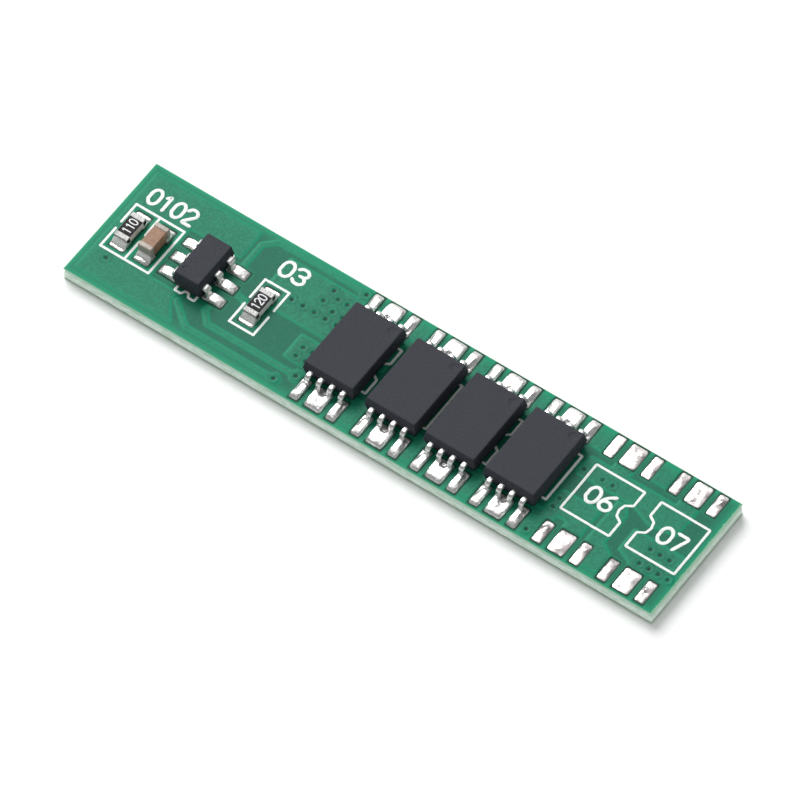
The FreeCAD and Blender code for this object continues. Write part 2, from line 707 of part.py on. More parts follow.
def top_pours(grow):
    """The larger areas of copper on the top, grown on all sides."""
    length, width = measure("board_length"), measure("board_width")
    margin = measure("pour_margin")
    controller_x = measure("controller_from_left")
    pad_end = controller_x + measure("controller_pad_offset")
    sense = via_spot("sense")
    waist, shoulder = measure("left_pour_waist"), measure("left_pour_shoulder")
    end = measure("left_pour_end")
    left = polygon([
        (margin, margin), (controller_x + margin, margin), (controller_x - margin, sense[1] + 2 * margin),
        (controller_x - margin, waist), (end, waist), (end, shoulder), (pad_end - margin, shoulder),
        (pad_end - margin, width - margin), (margin, width - margin)])
    boxes = []
    for chip in ("resistor_1", "capacitor"):
        half_x = measure("chip_legend_half_width - legend_line / 2 - mask_side_cover") - grow
        half_y = measure("chip_legend_half_length - legend_line / 2 - mask_side_cover") - grow
        chip_x, chip_y = measure(f"{chip}_from_left"), measure("chip_from_front")
        boxes.append(rectangle(chip_x - half_x, chip_y - half_y, chip_x + half_x, chip_y + half_y))
    left = grown(left, grow).cut(joined(boxes))
    main_end = measure("mosfet_1_from_left + mosfet_row_length / 2")
    pours = [left]
    pours.append(rectangle(measure("main_pour_start"), measure("main_pour_front"), main_end,
                           measure("main_pour_back"), grow))
    pours.append(rectangle(measure("gate_patch_start"), measure("gate_patch_front"),
                           measure("mosfet_1_from_left"), measure("gate_patch_back"), grow))
    pad_side = measure("mosfet_single_pad_side")
    places = ["mosfet_1", "mosfet_2", "mosfet_3", "mosfet_4", "spare_1", "spare_2"]
    for first, second in zip(places, places[1:]):
        start = measure(f"{first}_from_left") + pad_side
        stop = measure(f"{second}_from_left") - pad_side
        if second != "spare_2":
            pours.append(rectangle(start, margin, stop, measure("bridge_front_depth"), grow))
        pours.append(rectangle(start, width - measure("bridge_back_depth"), stop, width - margin / 2, grow))
    return pours + spare_pours(grow, length, margin)


def spare_pours(grow, length, margin):
    """The copper between and under the two unfitted places, divided by bare channels."""
    first, second = measure("spare_1_from_left"), measure("spare_2_from_left")
    channel = measure("spare_channel")
    middle = measure("mosfet_from_front")
    shared = measure("mosfet_shared_pad_width / 2")
    single = measure("mosfet_single_pad_side")
    pad_edge = measure("mosfet_from_front + mosfet_pad_offset - mosfet_pad_length / 2")
    front_edge = measure("mosfet_from_front - mosfet_pad_offset + mosfet_pad_length / 2")
    between = (first + second) / 2
    back_line = pad_edge - channel
    left_edge = measure("mosfet_4_from_left + mosfet_row_length / 2") + channel
    upper = polygon([
        (left_edge, middle + channel * 1.5), (between - channel / 2, middle + channel * 1.5),
        (between + channel * 2, middle + channel / 2), (second + channel, middle + channel),
        (second + channel, back_line), (left_edge, back_line)])
    upper_ties = [rectangle(centre - shared, back_line - channel, centre + shared, pad_edge + channel, grow)
                  for centre in (first, second)]
    lower_left = rectangle(left_edge, front_edge + channel, first + shared, middle - channel, grow)
    lower_tie = rectangle(first - shared, front_edge - channel, first + shared, middle - channel, grow)
    column = polygon([
        (first + single - channel / 2, margin), (between + channel, margin), (between + channel, front_edge),
        (between - channel / 2, front_edge + channel), (between - channel / 2, middle),
        (first + single + channel / 2, middle + channel), (first + single - channel / 2, middle + channel)])
    right = polygon([
        (second - single - channel / 2, front_edge + channel * 1.3), (second - shared, front_edge + channel / 2),
        (second - shared, front_edge - channel), (second + shared, front_edge - channel),
        (second + shared, front_edge + channel / 2), (length - margin, front_edge + channel / 2),
        (length - margin, middle - channel * 0.8), (second - single - channel / 2, middle - channel * 0.8)])
    return [grown(upper, grow), *upper_ties, lower_left, lower_tie, grown(column, grow), grown(right, grow)]


def top_copper(grow=0.0):
    """The whole copper pattern of the top, grown on all sides and kept off the board's edges."""
    via_land = measure("via_land_radius")
    width = measure("track_width")
    faces = pad_rectangles(grow) + top_pours(grow)
    faces += [disc(*centre, via_land + grow) for centre in via_places()]
    faces += [track(points, width + 2 * grow) for points in top_tracks()]
    inset = measure("copper_edge_gap") - grow
    keep = rectangle(inset, inset, measure("board_length") - inset, measure("board_width") - inset)
    return joined(faces).common(keep)


def terminal_rectangles(grow):
    """The three terminal areas of the underside, grown on all sides."""
    faces = []
    middle = measure("board_width") / 2
    half_y = measure("terminal_width") / 2
    for name in ("positive", "battery_negative", "load_negative"):
        centre, half_x = measure(f"{name}_from_left"), measure(f"{name}_length") / 2
        faces.append(rectangle(centre - half_x, middle - half_y, centre + half_x, middle + half_y, grow))
    return faces


def bottom_copper(grow=0.0):
    """The underside's three pours, cleared round the gate and sense holes."""
    margin = measure("pour_margin")
    back = measure("board_width") - margin
    pours = [
        rectangle(margin, margin, measure("positive_pour_end"), back, grow),
        rectangle(measure("battery_negative_pour_start"), margin, measure("battery_negative_pour_end"), back, grow),
        rectangle(measure("load_negative_pour_start"), margin, measure("board_length") - margin, back, grow),
    ]
    land = measure("via_land_radius")
    isolated = [via_spot(name) for name in ("gate_back", "gate_front", "sense")]
    clear = joined([disc(*centre, land + measure("via_clearance") - grow) for centre in isolated])
    lands = [disc(*centre, land + grow) for centre in isolated]
    return joined(pours).cut(clear).fuse(lands)


def outline_with_notch(centre_x, centre_y, half_x, half_y, notch):
    """A MOSFET place's printed outline, notched on its right (+1) or left (-1) side."""
    depth = measure("notch_depth")
    mouth, floor = measure("notch_mouth / 2"), measure("notch_floor / 2")
    points = [(-1, half_y), (-1, -half_y), (1, -half_y), (1, -mouth), (1, -floor), (1, floor), (1, mouth), (1, half_y)]
    inward = {4, 5}
    route = []
    for index, (side, y) in enumerate(points):
        x = half_x - (depth if index in inward else 0.0)
        route.append((centre_x + notch * side * x, centre_y + y))
    return track(route + route[:1], measure("legend_line"))


def chip_outline(centre_x, half_x, sides):
    """A chip's printed box, with a gap half way along the sides that are named."""
    centre_y = measure("chip_from_front")
    half_y, gap = measure("chip_legend_half_length"), measure("chip_legend_gap / 2")
    line = measure("legend_line")
    parts = [track([(centre_x - half_x, centre_y + end * half_y), (centre_x + half_x, centre_y + end * half_y)], line)
             for end in (-1, 1)]
    for side, broken in sides.items():
        x = centre_x + side * half_x
        runs = [(-half_y, -gap), (gap, half_y)] if broken else [(-half_y, half_y)]
        parts += [track([(x, centre_y + low), (x, centre_y + high)], line) for low, high in runs]
    return parts


def printed_outlines():
    """The white outlines printed round the components."""
    faces = []
    shift_x, shift_y = measure("mosfet_legend_shift_right"), measure("mosfet_legend_shift_back")
    half_x, half_y = measure("mosfet_legend_length / 2"), measure("mosfet_legend_width / 2")
    centre_y = measure("mosfet_from_front") + shift_y
    places = ["mosfet_1", "mosfet_2", "mosfet_3", "mosfet_4", "spare_1", "spare_2"]
    for index, name in enumerate(places):
        notch = 1 if index % 2 == 0 else -1
        faces.append(outline_with_notch(measure(f"{name}_from_left") + shift_x, centre_y, half_x, half_y, notch))
    chip_half = measure("chip_legend_half_width")
    faces += chip_outline(measure("resistor_1_from_left"), chip_half, {-1: True, 1: True})
    faces += chip_outline(measure("capacitor_from_left"), chip_half, {1: False})
    faces += chip_outline(measure("resistor_2_from_left"), chip_half, {-1: True, 1: True})
    half_x, half_y = measure("controller_legend_half_width"), measure("controller_legend_half_length")
    x, y = measure("controller_from_left"), measure("controller_from_front")
    nick, depth = measure("controller_notch_width / 2"), measure("controller_notch_depth")
    loop = [(-half_x, -half_y), (-nick, -half_y), (-nick / 2, depth - half_y), (nick / 2, depth - half_y),
            (nick, -half_y), (half_x, -half_y), (half_x, half_y), (-half_x, half_y), (-half_x, -half_y)]
    faces.append(track([(x + dx, y + dy) for dx, dy in loop], measure("legend_line")))
    return joined(faces)


def shaped(name, shape):
    """A sub-part whose flat pattern is worked out from the sheet."""
    item = doc.addObject("Part::Feature", f"{name}_pattern")
    item.Shape = shape.copy()
    item.Placement = Placement()
    return node(item, name)


def board_layers():
    """The laminate with its plated holes, the copper, the solder mask and the printed outlines."""
    length, width = measure("board_length"), measure("board_width")
    bottom, top = measure(LAMINATE_BOTTOM), measure(LAMINATE_TOP)
    copper, mask = measure("copper_thickness"), measure("mask_thickness")
    ink, side = measure("legend_thickness"), measure("mask_side_cover")
    gap = measure("mask_opening_gap")
    depth = copper + mask
    board = rectangle(0, 0, length, width)

    core = block("laminate_core", "0", "0", LAMINATE_BOTTOM, "board_length", "board_width", "laminate_thickness")
    plugs = joined([disc(*centre, measure("via_radius")) for centre in via_places()])
    barrels = shaped("via_barrels", raised(plugs, bottom, top - bottom))
    node(seated("laminate_drilled", core, barrels), "laminate")

    top_metal = raised(top_copper(), top, copper)
    shaped("copper_top", top_metal)
    cover = top_copper(side).common(board)
    top_skin = raised(board, top, mask).fuse(raised(cover, top, depth))
    top_openings = raised(joined(pad_rectangles(gap)), top, depth)
    shaped("solder_mask_top", top_skin.cut(top_openings).cut(top_metal).removeSplitter())

    bottom_metal = raised(bottom_copper(), bottom - copper, copper)
    shaped("copper_bottom", bottom_metal)
    bottom_skin = raised(board, bottom - mask, mask).fuse(raised(bottom_copper(side), bottom - depth, depth))
    bottom_openings = raised(joined(terminal_rectangles(gap)), bottom - depth, depth)
    shaped("solder_mask_bottom", bottom_skin.cut(bottom_openings).cut(bottom_metal).removeSplitter())

    lines = printed_outlines()
    over_copper = lines.common(top_copper(side + ink))
    print_solid = raised(lines, top + mask, ink).fuse(raised(over_copper, top + mask, copper + ink))
    shaped("printed_outlines", print_solid.cut(top_skin).removeSplitter())


board_layers()
for terminal in ("positive", "battery_negative", "load_negative"):
    tin = block(f"{terminal}_tin", across(f"{terminal}_from_left"), "0", "0", f"{terminal}_length",
                "terminal_width", "terminal_coat")
    node(tin, f"{terminal}_terminal")
package("controller", "controller", across("controller_from_left"), along("controller_from_front"), 90)
for number in range(1, 5):
    package(f"mosfet_{number}", "mosfet", across(f"mosfet_{number}_from_left"), along("mosfet_from_front"), 0)
chip_resistor("resistor_1", "resistor_1_from_left")
chip_resistor("resistor_2", "resistor_2_from_left")
chip_capacitor("capacitor", "capacitor_from_left")
spare_place("spare_1", "spare_1_from_left")
spare_place("spare_2", "spare_2_from_left")
doc.recompute()

for item in doc.Objects:
    if "Invalid" in item.State or "Error" in item.State:
        raise RuntimeError(f"{item.Label} did not rebuild: {item.State}")
faulty = [name for name, item in nodes.items() if item.Shape.isNull() or not item.Shape.isValid()]
if faulty:
    raise RuntimeError(f"no valid shape: {', '.join(faulty)}")

os.makedirs("parts", exist_ok=True)
for name, item in nodes.items():
    item.Shape.exportStep(f"parts/{name}.step")
    print(name, len(item.Shape.Solids), "solids", round(item.Shape.Volume, 4), "mm3")
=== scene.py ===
"""Looks of a single-cell battery management board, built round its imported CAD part.

Lengths are in millimetres in the row's frame, with the origin under the middle of the board, +X along
it, +Y across it and +Z up. They become metres when a mesh is made.
"""

import logging
import math
from collections.abc import Callable, Iterable, Sequence
from dataclasses import dataclass
from enum import Enum

import bmesh
import bpy
import numpy as np
from mathutils import Matrix, Vector
from mathutils.bvhtree import BVHTree


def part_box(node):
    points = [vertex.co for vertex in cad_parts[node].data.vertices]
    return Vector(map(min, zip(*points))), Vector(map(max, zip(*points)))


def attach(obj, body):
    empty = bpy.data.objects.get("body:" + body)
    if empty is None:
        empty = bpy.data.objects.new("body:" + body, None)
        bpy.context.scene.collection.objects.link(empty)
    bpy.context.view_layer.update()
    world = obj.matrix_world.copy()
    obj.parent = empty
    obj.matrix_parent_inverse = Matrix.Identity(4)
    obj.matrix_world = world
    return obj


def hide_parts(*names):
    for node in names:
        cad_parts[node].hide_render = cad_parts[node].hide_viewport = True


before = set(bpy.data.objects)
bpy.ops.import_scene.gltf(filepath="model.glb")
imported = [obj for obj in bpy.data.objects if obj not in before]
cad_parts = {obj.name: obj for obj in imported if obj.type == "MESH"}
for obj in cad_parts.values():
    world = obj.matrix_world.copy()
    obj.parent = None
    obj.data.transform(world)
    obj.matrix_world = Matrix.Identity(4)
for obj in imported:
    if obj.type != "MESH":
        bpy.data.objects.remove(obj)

MM = 0.001
SEED = 7
# Border inside a part's flat ends, which keeps their shading flat
FLAT_BORDER = 0.02
# Share of its cell that a digit fills
DIGIT_SHARE = 0.75

log = logging.getLogger("battery_board")

Colour = tuple[float, float, float]
Stroke = list[tuple[float, float]]
# Gives the height under places x and y
Ground = Callable[[np.ndarray, np.ndarray], np.ndarray]
# What goes into a node: a value, or a socket to link from
Feed = float | Sequence[float] | bpy.types.NodeSocket


class Slot(Enum):
    """Material slots of the record, one for each kind of piece made here."""

    LAMINATE = "laminate"
    MASK = "solder_mask"
    LEGEND = "legend_ink"
    MOULDING = "moulding"
    LEAD = "lead_plate"
    SOLDER = "solder"
    ALUMINA = "alumina"
    GLAZE = "resistor_glaze"
    CHIP_PLATE = "chip_plate"
    CERAMIC = "capacitor_ceramic"


class Turn(Enum):
    """Quarter turns of a package about +Z."""

    NONE = 0
    QUARTER = 90


# Frame


@dataclass(frozen=True)
class Span:
    """The box round one or more CAD nodes, in millimetres."""

    low: np.ndarray
    high: np.ndarray

    @classmethod
    def of(cls, *nodes: str) -> "Span":
        """Args: nodes: names of CAD nodes. Returns: the box round all of them."""
        boxes = [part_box(node) for node in nodes]
        low = np.min([np.array(low) for low, _ in boxes], axis=0) / MM
        high = np.max([np.array(high) for _, high in boxes], axis=0) / MM
        return cls(low, high)

    @property
    def centre(self) -> np.ndarray:
        """The middle of the box."""
        return (self.low + self.high) / 2

    @property
    def size(self) -> np.ndarray:
        """The lengths of the box's sides."""
        return self.high - self.low


def islands(node: str) -> list[Span]:
    """Args: node: name of a CAD node. Returns: the box of each of its separate solids."""
    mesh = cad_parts[node].data
    points = np.array([vertex.co for vertex in mesh.vertices]) / MM
    keys = [tuple(key) for key in np.round(points, 4)]
    owner = {key: key for key in keys}

    def root(key: tuple) -> tuple:
        """Args: key: of a corner. Returns: the first key of its island."""
        while owner[key] != key:
            key = owner[key]
        return key

    for edge in mesh.edges:
        first, second = (root(keys[index]) for index in edge.vertices)
        owner[first] = second
    groups: dict[tuple, list[tuple]] = {}
    for key in set(keys):
        groups.setdefault(root(key), []).append(key)
    spans = [Span(np.min(group, axis=0), np.max(group, axis=0)) for group in groups.values()]
    return sorted(spans, key=lambda span: (round(span.low[0], 3), round(span.low[1], 3)))


# Meshes


def grid_faces(rows: int, columns: int, closed: bool = False, start: int = 0) -> list[tuple[int, ...]]:
    """Quads of a grid of points, laid row by row.

    Args:
        rows: number of rows of points.
        columns: number of points in a row.
        closed: join the last column to the first.
        start: index of the grid's first point.

    Returns:
        The quads, wound anticlockwise for columns along +X and rows along +Y.
    """
    last = columns if closed else columns - 1
    row, column = np.meshgrid(np.arange(rows - 1), np.arange(last), indexing="ij")
    after = (column + 1) % columns
    quads = np.stack([row * columns + column, row * columns + after,
                      (row + 1) * columns + after, (row + 1) * columns + column], axis=-1)
    return [tuple(quad) for quad in (quads.reshape(-1, 4) + start).tolist()]


def skirt(rim: Sequence[int], start: int) -> list[tuple[int, ...]]:
    """Faces that close a sheet from below.

    Args:
        rim: indices of the points round the sheet, anticlockwise.
        start: index of the first of the points below them, in the same order.

    Returns:
        The wall's quads and one face for the underside.
    """
    size = len(rim)
    walls = [(rim[i], start + i, start + (i + 1) % size, rim[(i + 1) % size]) for i in range(size)]
    return [*walls, tuple(reversed(range(start, start + size)))]


class Draft:
    """Points and faces of one piece, gathered part by part."""

    def __init__(self) -> None:
        """Start with nothing."""
        self.points: list[np.ndarray] = []
        self.faces: list[tuple[int, ...]] = []
        self.count = 0

    def add(self, points: np.ndarray, faces: Iterable[tuple[int, ...]]) -> None:
        """Args: points: N by 3, in millimetres. faces: indices into them."""
        self.faces += [tuple(index + self.count for index in face) for face in faces]
        self.points.append(np.asarray(points, float))
        self.count += len(points)

    def add_tube(self, rings: Sequence[np.ndarray], flat_ends: float = 0.0) -> None:
        """Args: rings: closed sections of equal length, joined in turn and capped at both ends. flat_ends:
        width of a flat border inside each cap, which keeps its shading flat."""
        if flat_ends:
            rings = [shrunk(rings[0], flat_ends), *rings, shrunk(rings[-1], flat_ends)]
        size = len(rings[0])
        faces = grid_faces(len(rings), size, closed=True)
        faces.append(tuple(reversed(range(size))))
        faces.append(tuple(range((len(rings) - 1) * size, len(rings) * size)))
        self.add(np.concatenate(rings), faces)

    def mesh(self, name: str, sharp_degrees: float = 35.0) -> bpy.types.Mesh:
        """Args: name: the mesh's name. sharp_degrees: edges over this stay sharp. Returns: the mesh."""
        mesh = bpy.data.meshes.new(name)
        mesh.from_pydata(np.concatenate(self.points) * MM, [], self.faces)
        shape = bmesh.new()
        shape.from_mesh(mesh)
        bmesh.ops.recalc_face_normals(shape, faces=shape.faces)
        shape.to_mesh(mesh)
        shape.free()
        mesh.polygons.foreach_set("use_smooth", [True] * len(mesh.polygons))
        mesh.set_sharp_from_angle(angle=math.radians(sharp_degrees))
        return mesh

    def piece(self, name: str, sharp_degrees: float, material: bpy.types.Material, slot: Slot,
              *nodes: str) -> None:
        """Args: name, sharp_degrees: of the mesh. material: its finish. slot: a material slot of the record.
        nodes: what it stands for.
        """
        fitted(shown(self.mesh(name, sharp_degrees), material), slot, *nodes)


def shown(mesh: bpy.types.Mesh, material: bpy.types.Material | None) -> bpy.types.Object:
    """Args: mesh: a finished mesh. material: its finish. Returns: an object of it in the scene."""
    if material is not None:
        mesh.materials.clear()
        mesh.materials.append(material)
    thing = bpy.data.objects.new(mesh.name, mesh)
    bpy.context.scene.collection.objects.link(thing)
    return thing


def fitted(thing: bpy.types.Object, slot: Slot, *nodes: str) -> None:
    """Make an object a piece of the board.

    Args:
        thing: the finished object.
        slot: a material slot of the record; not used.
        nodes: CAD nodes that it stands for.
    """
    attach(thing, "root")
    if nodes:
        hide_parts(*nodes)
    log.info("%s: %d faces, for %s", thing.name, len(thing.data.polygons), ", ".join(nodes) or "no node")


def settled(thing: bpy.types.Object) -> bpy.types.Mesh:
    """Args: thing: an object with modifiers. Returns: its finished mesh; the object loses them."""
    graph = bpy.context.evaluated_depsgraph_get()
    mesh = bpy.data.meshes.new_from_object(thing.evaluated_get(graph), depsgraph=graph)
    thing.modifiers.clear()
    thing.data = mesh
    return mesh


def rounded_outline(half_x: float, half_y: float, radius: float, steps: int = 5) -> np.ndarray:
    """Args: half sizes and corner radius of a rectangle, and steps in a corner. Returns: N by 2."""
    points = []
    for index, (side_x, side_y) in enumerate([(1, 1), (-1, 1), (-1, -1), (1, -1)]):
        for step in range(steps + 1):
            turn = math.pi / 2 * (index + step / steps)
            points.append((side_x * (half_x - radius) + radius * math.cos(turn),
                           side_y * (half_y - radius) + radius * math.sin(turn)))
    return np.array(points)


def ring(outline: np.ndarray, z: float, centre: Sequence[float] = (0.0, 0.0)) -> np.ndarray:
    """Args: outline: N by 2. z: height. centre: middle in plan. Returns: N by 3."""
    return np.column_stack([outline + np.asarray(centre[:2]), np.full(len(outline), z)])


def shrunk(section: np.ndarray, margin: float) -> np.ndarray:
    """Args: section: a closed flat section. margin: how far to draw it in. Returns: the smaller section."""
    centre = (section.min(axis=0) + section.max(axis=0)) / 2
    half = (section.max(axis=0) - section.min(axis=0)) / 2
    scale = np.where(half > margin, (half - margin) / np.maximum(half, margin), 1.0)
    return centre + (section - centre) * scale


def rim_levels(z: float, radius: float, upper: bool, steps: int = 4) -> list[tuple[float, float]]:
    """Args: z: of a block's end. radius: of the edge there. upper: it is the top end. steps: round the edge.
    Returns: the height and the inset of each ring, upwards."""
    levels = []
    for step in range(steps + 1):
        turn = math.pi / 2 * step / steps
        flank, crown = radius * (1 - math.sin(turn)), radius * (1 - math.cos(turn))
        levels.append((z - flank, crown) if upper else (z + crown, flank))
    return levels


def soft_block(low: np.ndarray, high: np.ndarray, radius: float) -> list[np.ndarray]:
    """Args: low, high: corners of a block. radius: of all its edges. Returns: rings for a tube."""
    half = (high - low) / 2
    rings = []
    for z, inset in rim_levels(low[2], radius, False) + rim_levels(high[2], radius, True):
        outline = rounded_outline(half[0] - inset, half[1] - inset, radius * 0.999 - inset * 0.9)
        rings.append(ring(outline, z, (high + low) / 2))
    return rings


# Materials


def linear(red: int, green: int, blue: int) -> Colour:
    """Args: display values from 0 to 255. Returns: the linear colour."""
    return tuple((value / 255 / 12.92) if value < 10.3 else ((value / 255 + 0.055) / 1.055) ** 2.4
                 for value in (red, green, blue))


def scaled(colour: Colour, factor: float) -> Colour:
    """A colour times a factor."""
    return tuple(factor * value for value in colour)


class Graph:
    """A node tree, built up node by node."""

    def __init__(self, tree: bpy.types.NodeTree) -> None:
        """Args: tree: the tree to build in."""
        self.tree = tree

    def node(self, kind: str, settings: dict[str, str] | None = None, **inputs: Feed) -> bpy.types.Node:
        """Args: kind: node type. settings: its properties. inputs: values or sockets, with _ for a space.
        Returns: the node."""
        node = self.tree.nodes.new(kind)
        for name, value in (settings or {}).items():
            setattr(node, name, value)
        for name, value in inputs.items():
            self.set(node, name.replace("_", " "), value)
        return node

    def set(self, node: bpy.types.Node, name: str | int, value: Feed) -> None:
        """Args: node, name: a socket. value: a constant, or a socket to link from."""
        if isinstance(value, bpy.types.NodeSocket):
            self.tree.links.new(value, node.inputs[name])
        else:
            node.inputs[name].default_value = value

    def ramp(self, value: bpy.types.NodeSocket, *stops: tuple[float, float]) -> bpy.types.NodeSocket:
        """Args: value: a socket. stops: (position, grey level), in order. Returns: the mapped value."""
        node = self.node("ShaderNodeValToRGB", Fac=value)
        band = node.color_ramp
        while len(band.elements) < len(stops):
            band.elements.new(0.5)
        for element, (position, level) in zip(band.elements, stops):
            element.position = position
            element.color = (level, level, level, 1)
        return node.outputs["Color"]

    def maths(self, operation: str, first: Feed, second: Feed = 0.0) -> bpy.types.NodeSocket:
        """Args: operation: of a Math node. first, second: operands. Returns: the result."""
        node = self.node("ShaderNodeMath", {"operation": operation})
        self.set(node, 0, first)
        self.set(node, 1, second)
        return node.outputs[0]

    def mixed(self, factor: Feed, first: Feed, second: Feed) -> bpy.types.NodeSocket:
        """Args: factor: share of the second. first, second: colours. Returns: the mixed colour."""
        node = self.node("ShaderNodeMix", {"data_type": "RGBA"})
        self.set(node, 0, factor)
        for index, value in ((6, first), (7, second)):
            self.set(node, index, (*value, 1) if isinstance(value, tuple) else value)
        return node.outputs[2]


class Shader(Graph):
    """A material's node tree, built up round one Principled shader."""

    def __init__(self, name: str) -> None:
        """Args: name: of the new material."""
        self.material = bpy.data.materials.new(name)
        self.material.use_nodes = True
        super().__init__(self.material.node_tree)
        self.surface = self.tree.nodes["Principled BSDF"]

    def place(self) -> bpy.types.NodeSocket:
        """The object coordinates."""
        return self.node("ShaderNodeTexCoord").outputs["Object"]

    def noise(self, size_mm: float, detail: float, stretch: Sequence[float] = (1, 1, 1),
              offset: float = 0.0) -> bpy.types.NodeSocket:
        """Args: size_mm: of one feature. detail: octaves. stretch: frequency along each axis. offset: of the
        pattern, in metres. Returns: values about one half."""
        shift = (offset, offset, 0)
        spot = self.node("ShaderNodeMapping", Vector=self.place(), Scale=stretch, Location=shift)
        texture = self.node("ShaderNodeTexNoise", Vector=spot.outputs[0], Scale=1 / (size_mm * MM),
                            Detail=detail)
        return texture.outputs["Fac"]

    def patches(self, size_mm: float, detail: float, low: float, high: float,
                offset: float = 0.0) -> bpy.types.NodeSocket:
        """A noise as values from 0, where it is at most low, to 1, where it is at least high."""
        return self.ramp(self.noise(size_mm, detail, offset=offset), (low, 0.0), (high, 1.0))

    def tinted(self, colour: Feed, share: Feed, strength: float, other: Colour) -> bpy.types.NodeSocket:
        """A colour that turns to another by a share times a strength."""
        return self.mixed(self.maths("MULTIPLY", share, strength), colour, other)

    def rough(self, level: float, grain: Feed, spread: float = 0.2,
              less: float = 0.1) -> bpy.types.NodeSocket:
        """A level less an amount, and grain times its spread on top."""
        return self.maths("ADD", self.maths("MULTIPLY", grain, spread), level - less)

    def bump(self, height: Feed, depth_mm: float, after: Feed | None = None) -> bpy.types.NodeSocket:
        """Args: height: from 0 to 1. depth_mm: its depth. after: a normal to add to. Returns: the normal."""
        node = self.node("ShaderNodeBump", Height=height, Strength=1.0, Distance=depth_mm * MM)
        if after is not None:
            self.set(node, "Normal", after)
        return node.outputs["Normal"]

    def finish(self, **inputs: Feed) -> bpy.types.Material:
        """Args: inputs: the Principled shader's values, with _ for a space. Returns: the material."""
        for name, value in inputs.items():
            self.set(self.surface, name.replace("_", " "), value)
        return self.material


@dataclass(frozen=True)
class MaskFinish:
    """Green solder mask, lighter over copper, pale where chipped, with painted glow at its edges and painted
    shade round its openings.
    """

    backed: Colour = linear(36, 134, 104)
    bare: Colour = linear(24, 112, 88)
    # Painted glow, mixed in near the board's edges and along the copper's edges
    margin: Colour = linear(20, 152, 112)
    # Painted shade, mixed in round the mask's openings
    well: Colour = linear(8, 62, 45)
    pit: Colour = linear(2, 26, 22)
    # Pale laminate where the mask is chipped, and painted light on the under mask's rim
    chipped_and_lit: Colour = linear(176, 206, 178)
    roughness: float = 0.36
    weave_mm: float = 0.35
    under_copper: float = 0.04
    # Width of the under mask's rim that gets that painted light
    painted_light_rim: float = 0.05

    def material(self, name: str, layered: bool) -> bpy.types.Material:
        """Args: name: of the material. layered: read the skin's layers. Returns: the material."""
        shader = Shader(name)
        grain = shader.noise(0.09, 3)
        weave = shader.maths("MULTIPLY", shader.noise(self.weave_mm, 1, (1.0, 6.0, 1.0)),
                             shader.noise(self.weave_mm, 1, (6.0, 1.0, 1.0), 0.3))
        if layered:
            layers = shader.node("ShaderNodeAttribute", {"attribute_name": "layers"}).outputs
            parts = shader.node("ShaderNodeSeparateColor", Color=layers["Color"]).outputs
            copper, well, pit, margin = parts[0], parts[1], parts[2], layers["Alpha"]
            worn = shader.node("ShaderNodeAttribute", {"attribute_name": "worn"}).outputs["Fac"]
        else:
            place = shader.node("ShaderNodeSeparateXYZ", Vector=shader.place()).outputs
            copper = shader.maths("LESS_THAN", place["Z"], self.under_copper * MM)
            well = pit = margin = 0.0
            # Painted light: the under mask's rim takes the pale colour, which lifts the contact shadow under
            # the board's edge
            rim = Span.of("laminate").size / 2 - self.painted_light_rim
            sides = [shader.maths("GREATER_THAN", shader.maths("ABSOLUTE", place[axis]), rim[axis] * MM)
                     for axis in range(2)]
            worn = shader.maths("MAXIMUM", *sides)
        bare = shader.tinted(self.bare, weave, 1.2, scaled(self.bare, 0.72))
        colour = shader.mixed(copper, bare, self.backed)
        colour = shader.tinted(colour, shader.patches(0.9, 5, 0.3, 0.7), 0.25, scaled(self.backed, 0.7))
        fine = shader.patches(0.11, 2, 0.35, 0.65, offset=0.4)
        colour = shader.tinted(colour, fine, 0.5, scaled(self.backed, 0.45))
        # Mix in the painted glow, the painted shade round the openings, the dark holes and the pale tint:
        # chipping on the top skin, painted light on the under mask's rim
        for share, tint in ((margin, self.margin), (well, self.well), (pit, self.pit), (worn, self.chipped_and_lit)):
            colour = shader.mixed(share, colour, tint)
        normal = shader.bump(grain, 0.006, shader.bump(weave, 0.012))
        return shader.finish(Base_Color=colour, Roughness=shader.rough(self.roughness, grain), Normal=normal,
                             Specular_IOR_Level=0.09)


@dataclass(frozen=True)
class MetalFinish:
    """Tin or solder: a bright metal with small waves, dull patches and dark specks."""

    colour: Colour
    roughness: float
    wave_mm: float = 0.25
    wave_depth_mm: float = 0.02
    stain: float = 0.3
    metallic: float = 0.85

    def material(self, name: str) -> bpy.types.Material:
        """Args: name: of the material. Returns: the material."""
        shader = Shader(name)
        pits = shader.noise(0.06, 4)
        stains = shader.patches(0.3, 4, 0.55, 0.72, offset=0.7)
        normal = shader.bump(pits, 0.004, shader.bump(shader.noise(self.wave_mm, 2), self.wave_depth_mm))
        colour = shader.tinted(self.colour, stains, self.stain, scaled(self.colour, 0.45))
        rough = shader.rough(self.roughness, pits, 0.25, 0.12)
        return shader.finish(Base_Color=colour, Metallic=self.metallic, Roughness=rough, Normal=normal)


@dataclass(frozen=True)
class EpoxyFinish:
    """Dark moulded epoxy with fine grain and pale filler specks."""

    colour: Colour = linear(46, 49, 57)
    filler: Colour = (0.35, 0.35, 0.37)
    filler_mm: float = 0.16
    roughness: float = 0.66

    def material(self, name: str) -> bpy.types.Material:
        """Args: name: of the material. Returns: the material."""
        shader = Shader(name)
        grain = shader.patches(0.07, 3, 0.3, 0.7)
        speck = shader.node("ShaderNodeTexVoronoi", Vector=shader.place(), Scale=1 / (self.filler_mm * MM))
        dots = shader.ramp(speck.outputs["Distance"], (0.0, 1.0), (0.12, 0.0))
        colour = shader.mixed(grain, scaled(self.colour, 0.7), scaled(self.colour, 1.3))
        colour = shader.tinted(colour, shader.noise(0.8, 3), 0.3, scaled(self.colour, 0.7))
        colour = shader.tinted(colour, dots, 0.12, self.filler)
        return shader.finish(Base_Color=colour, Roughness=self.roughness, Normal=shader.bump(grain, 0.012),
                             Specular_IOR_Level=0.3)


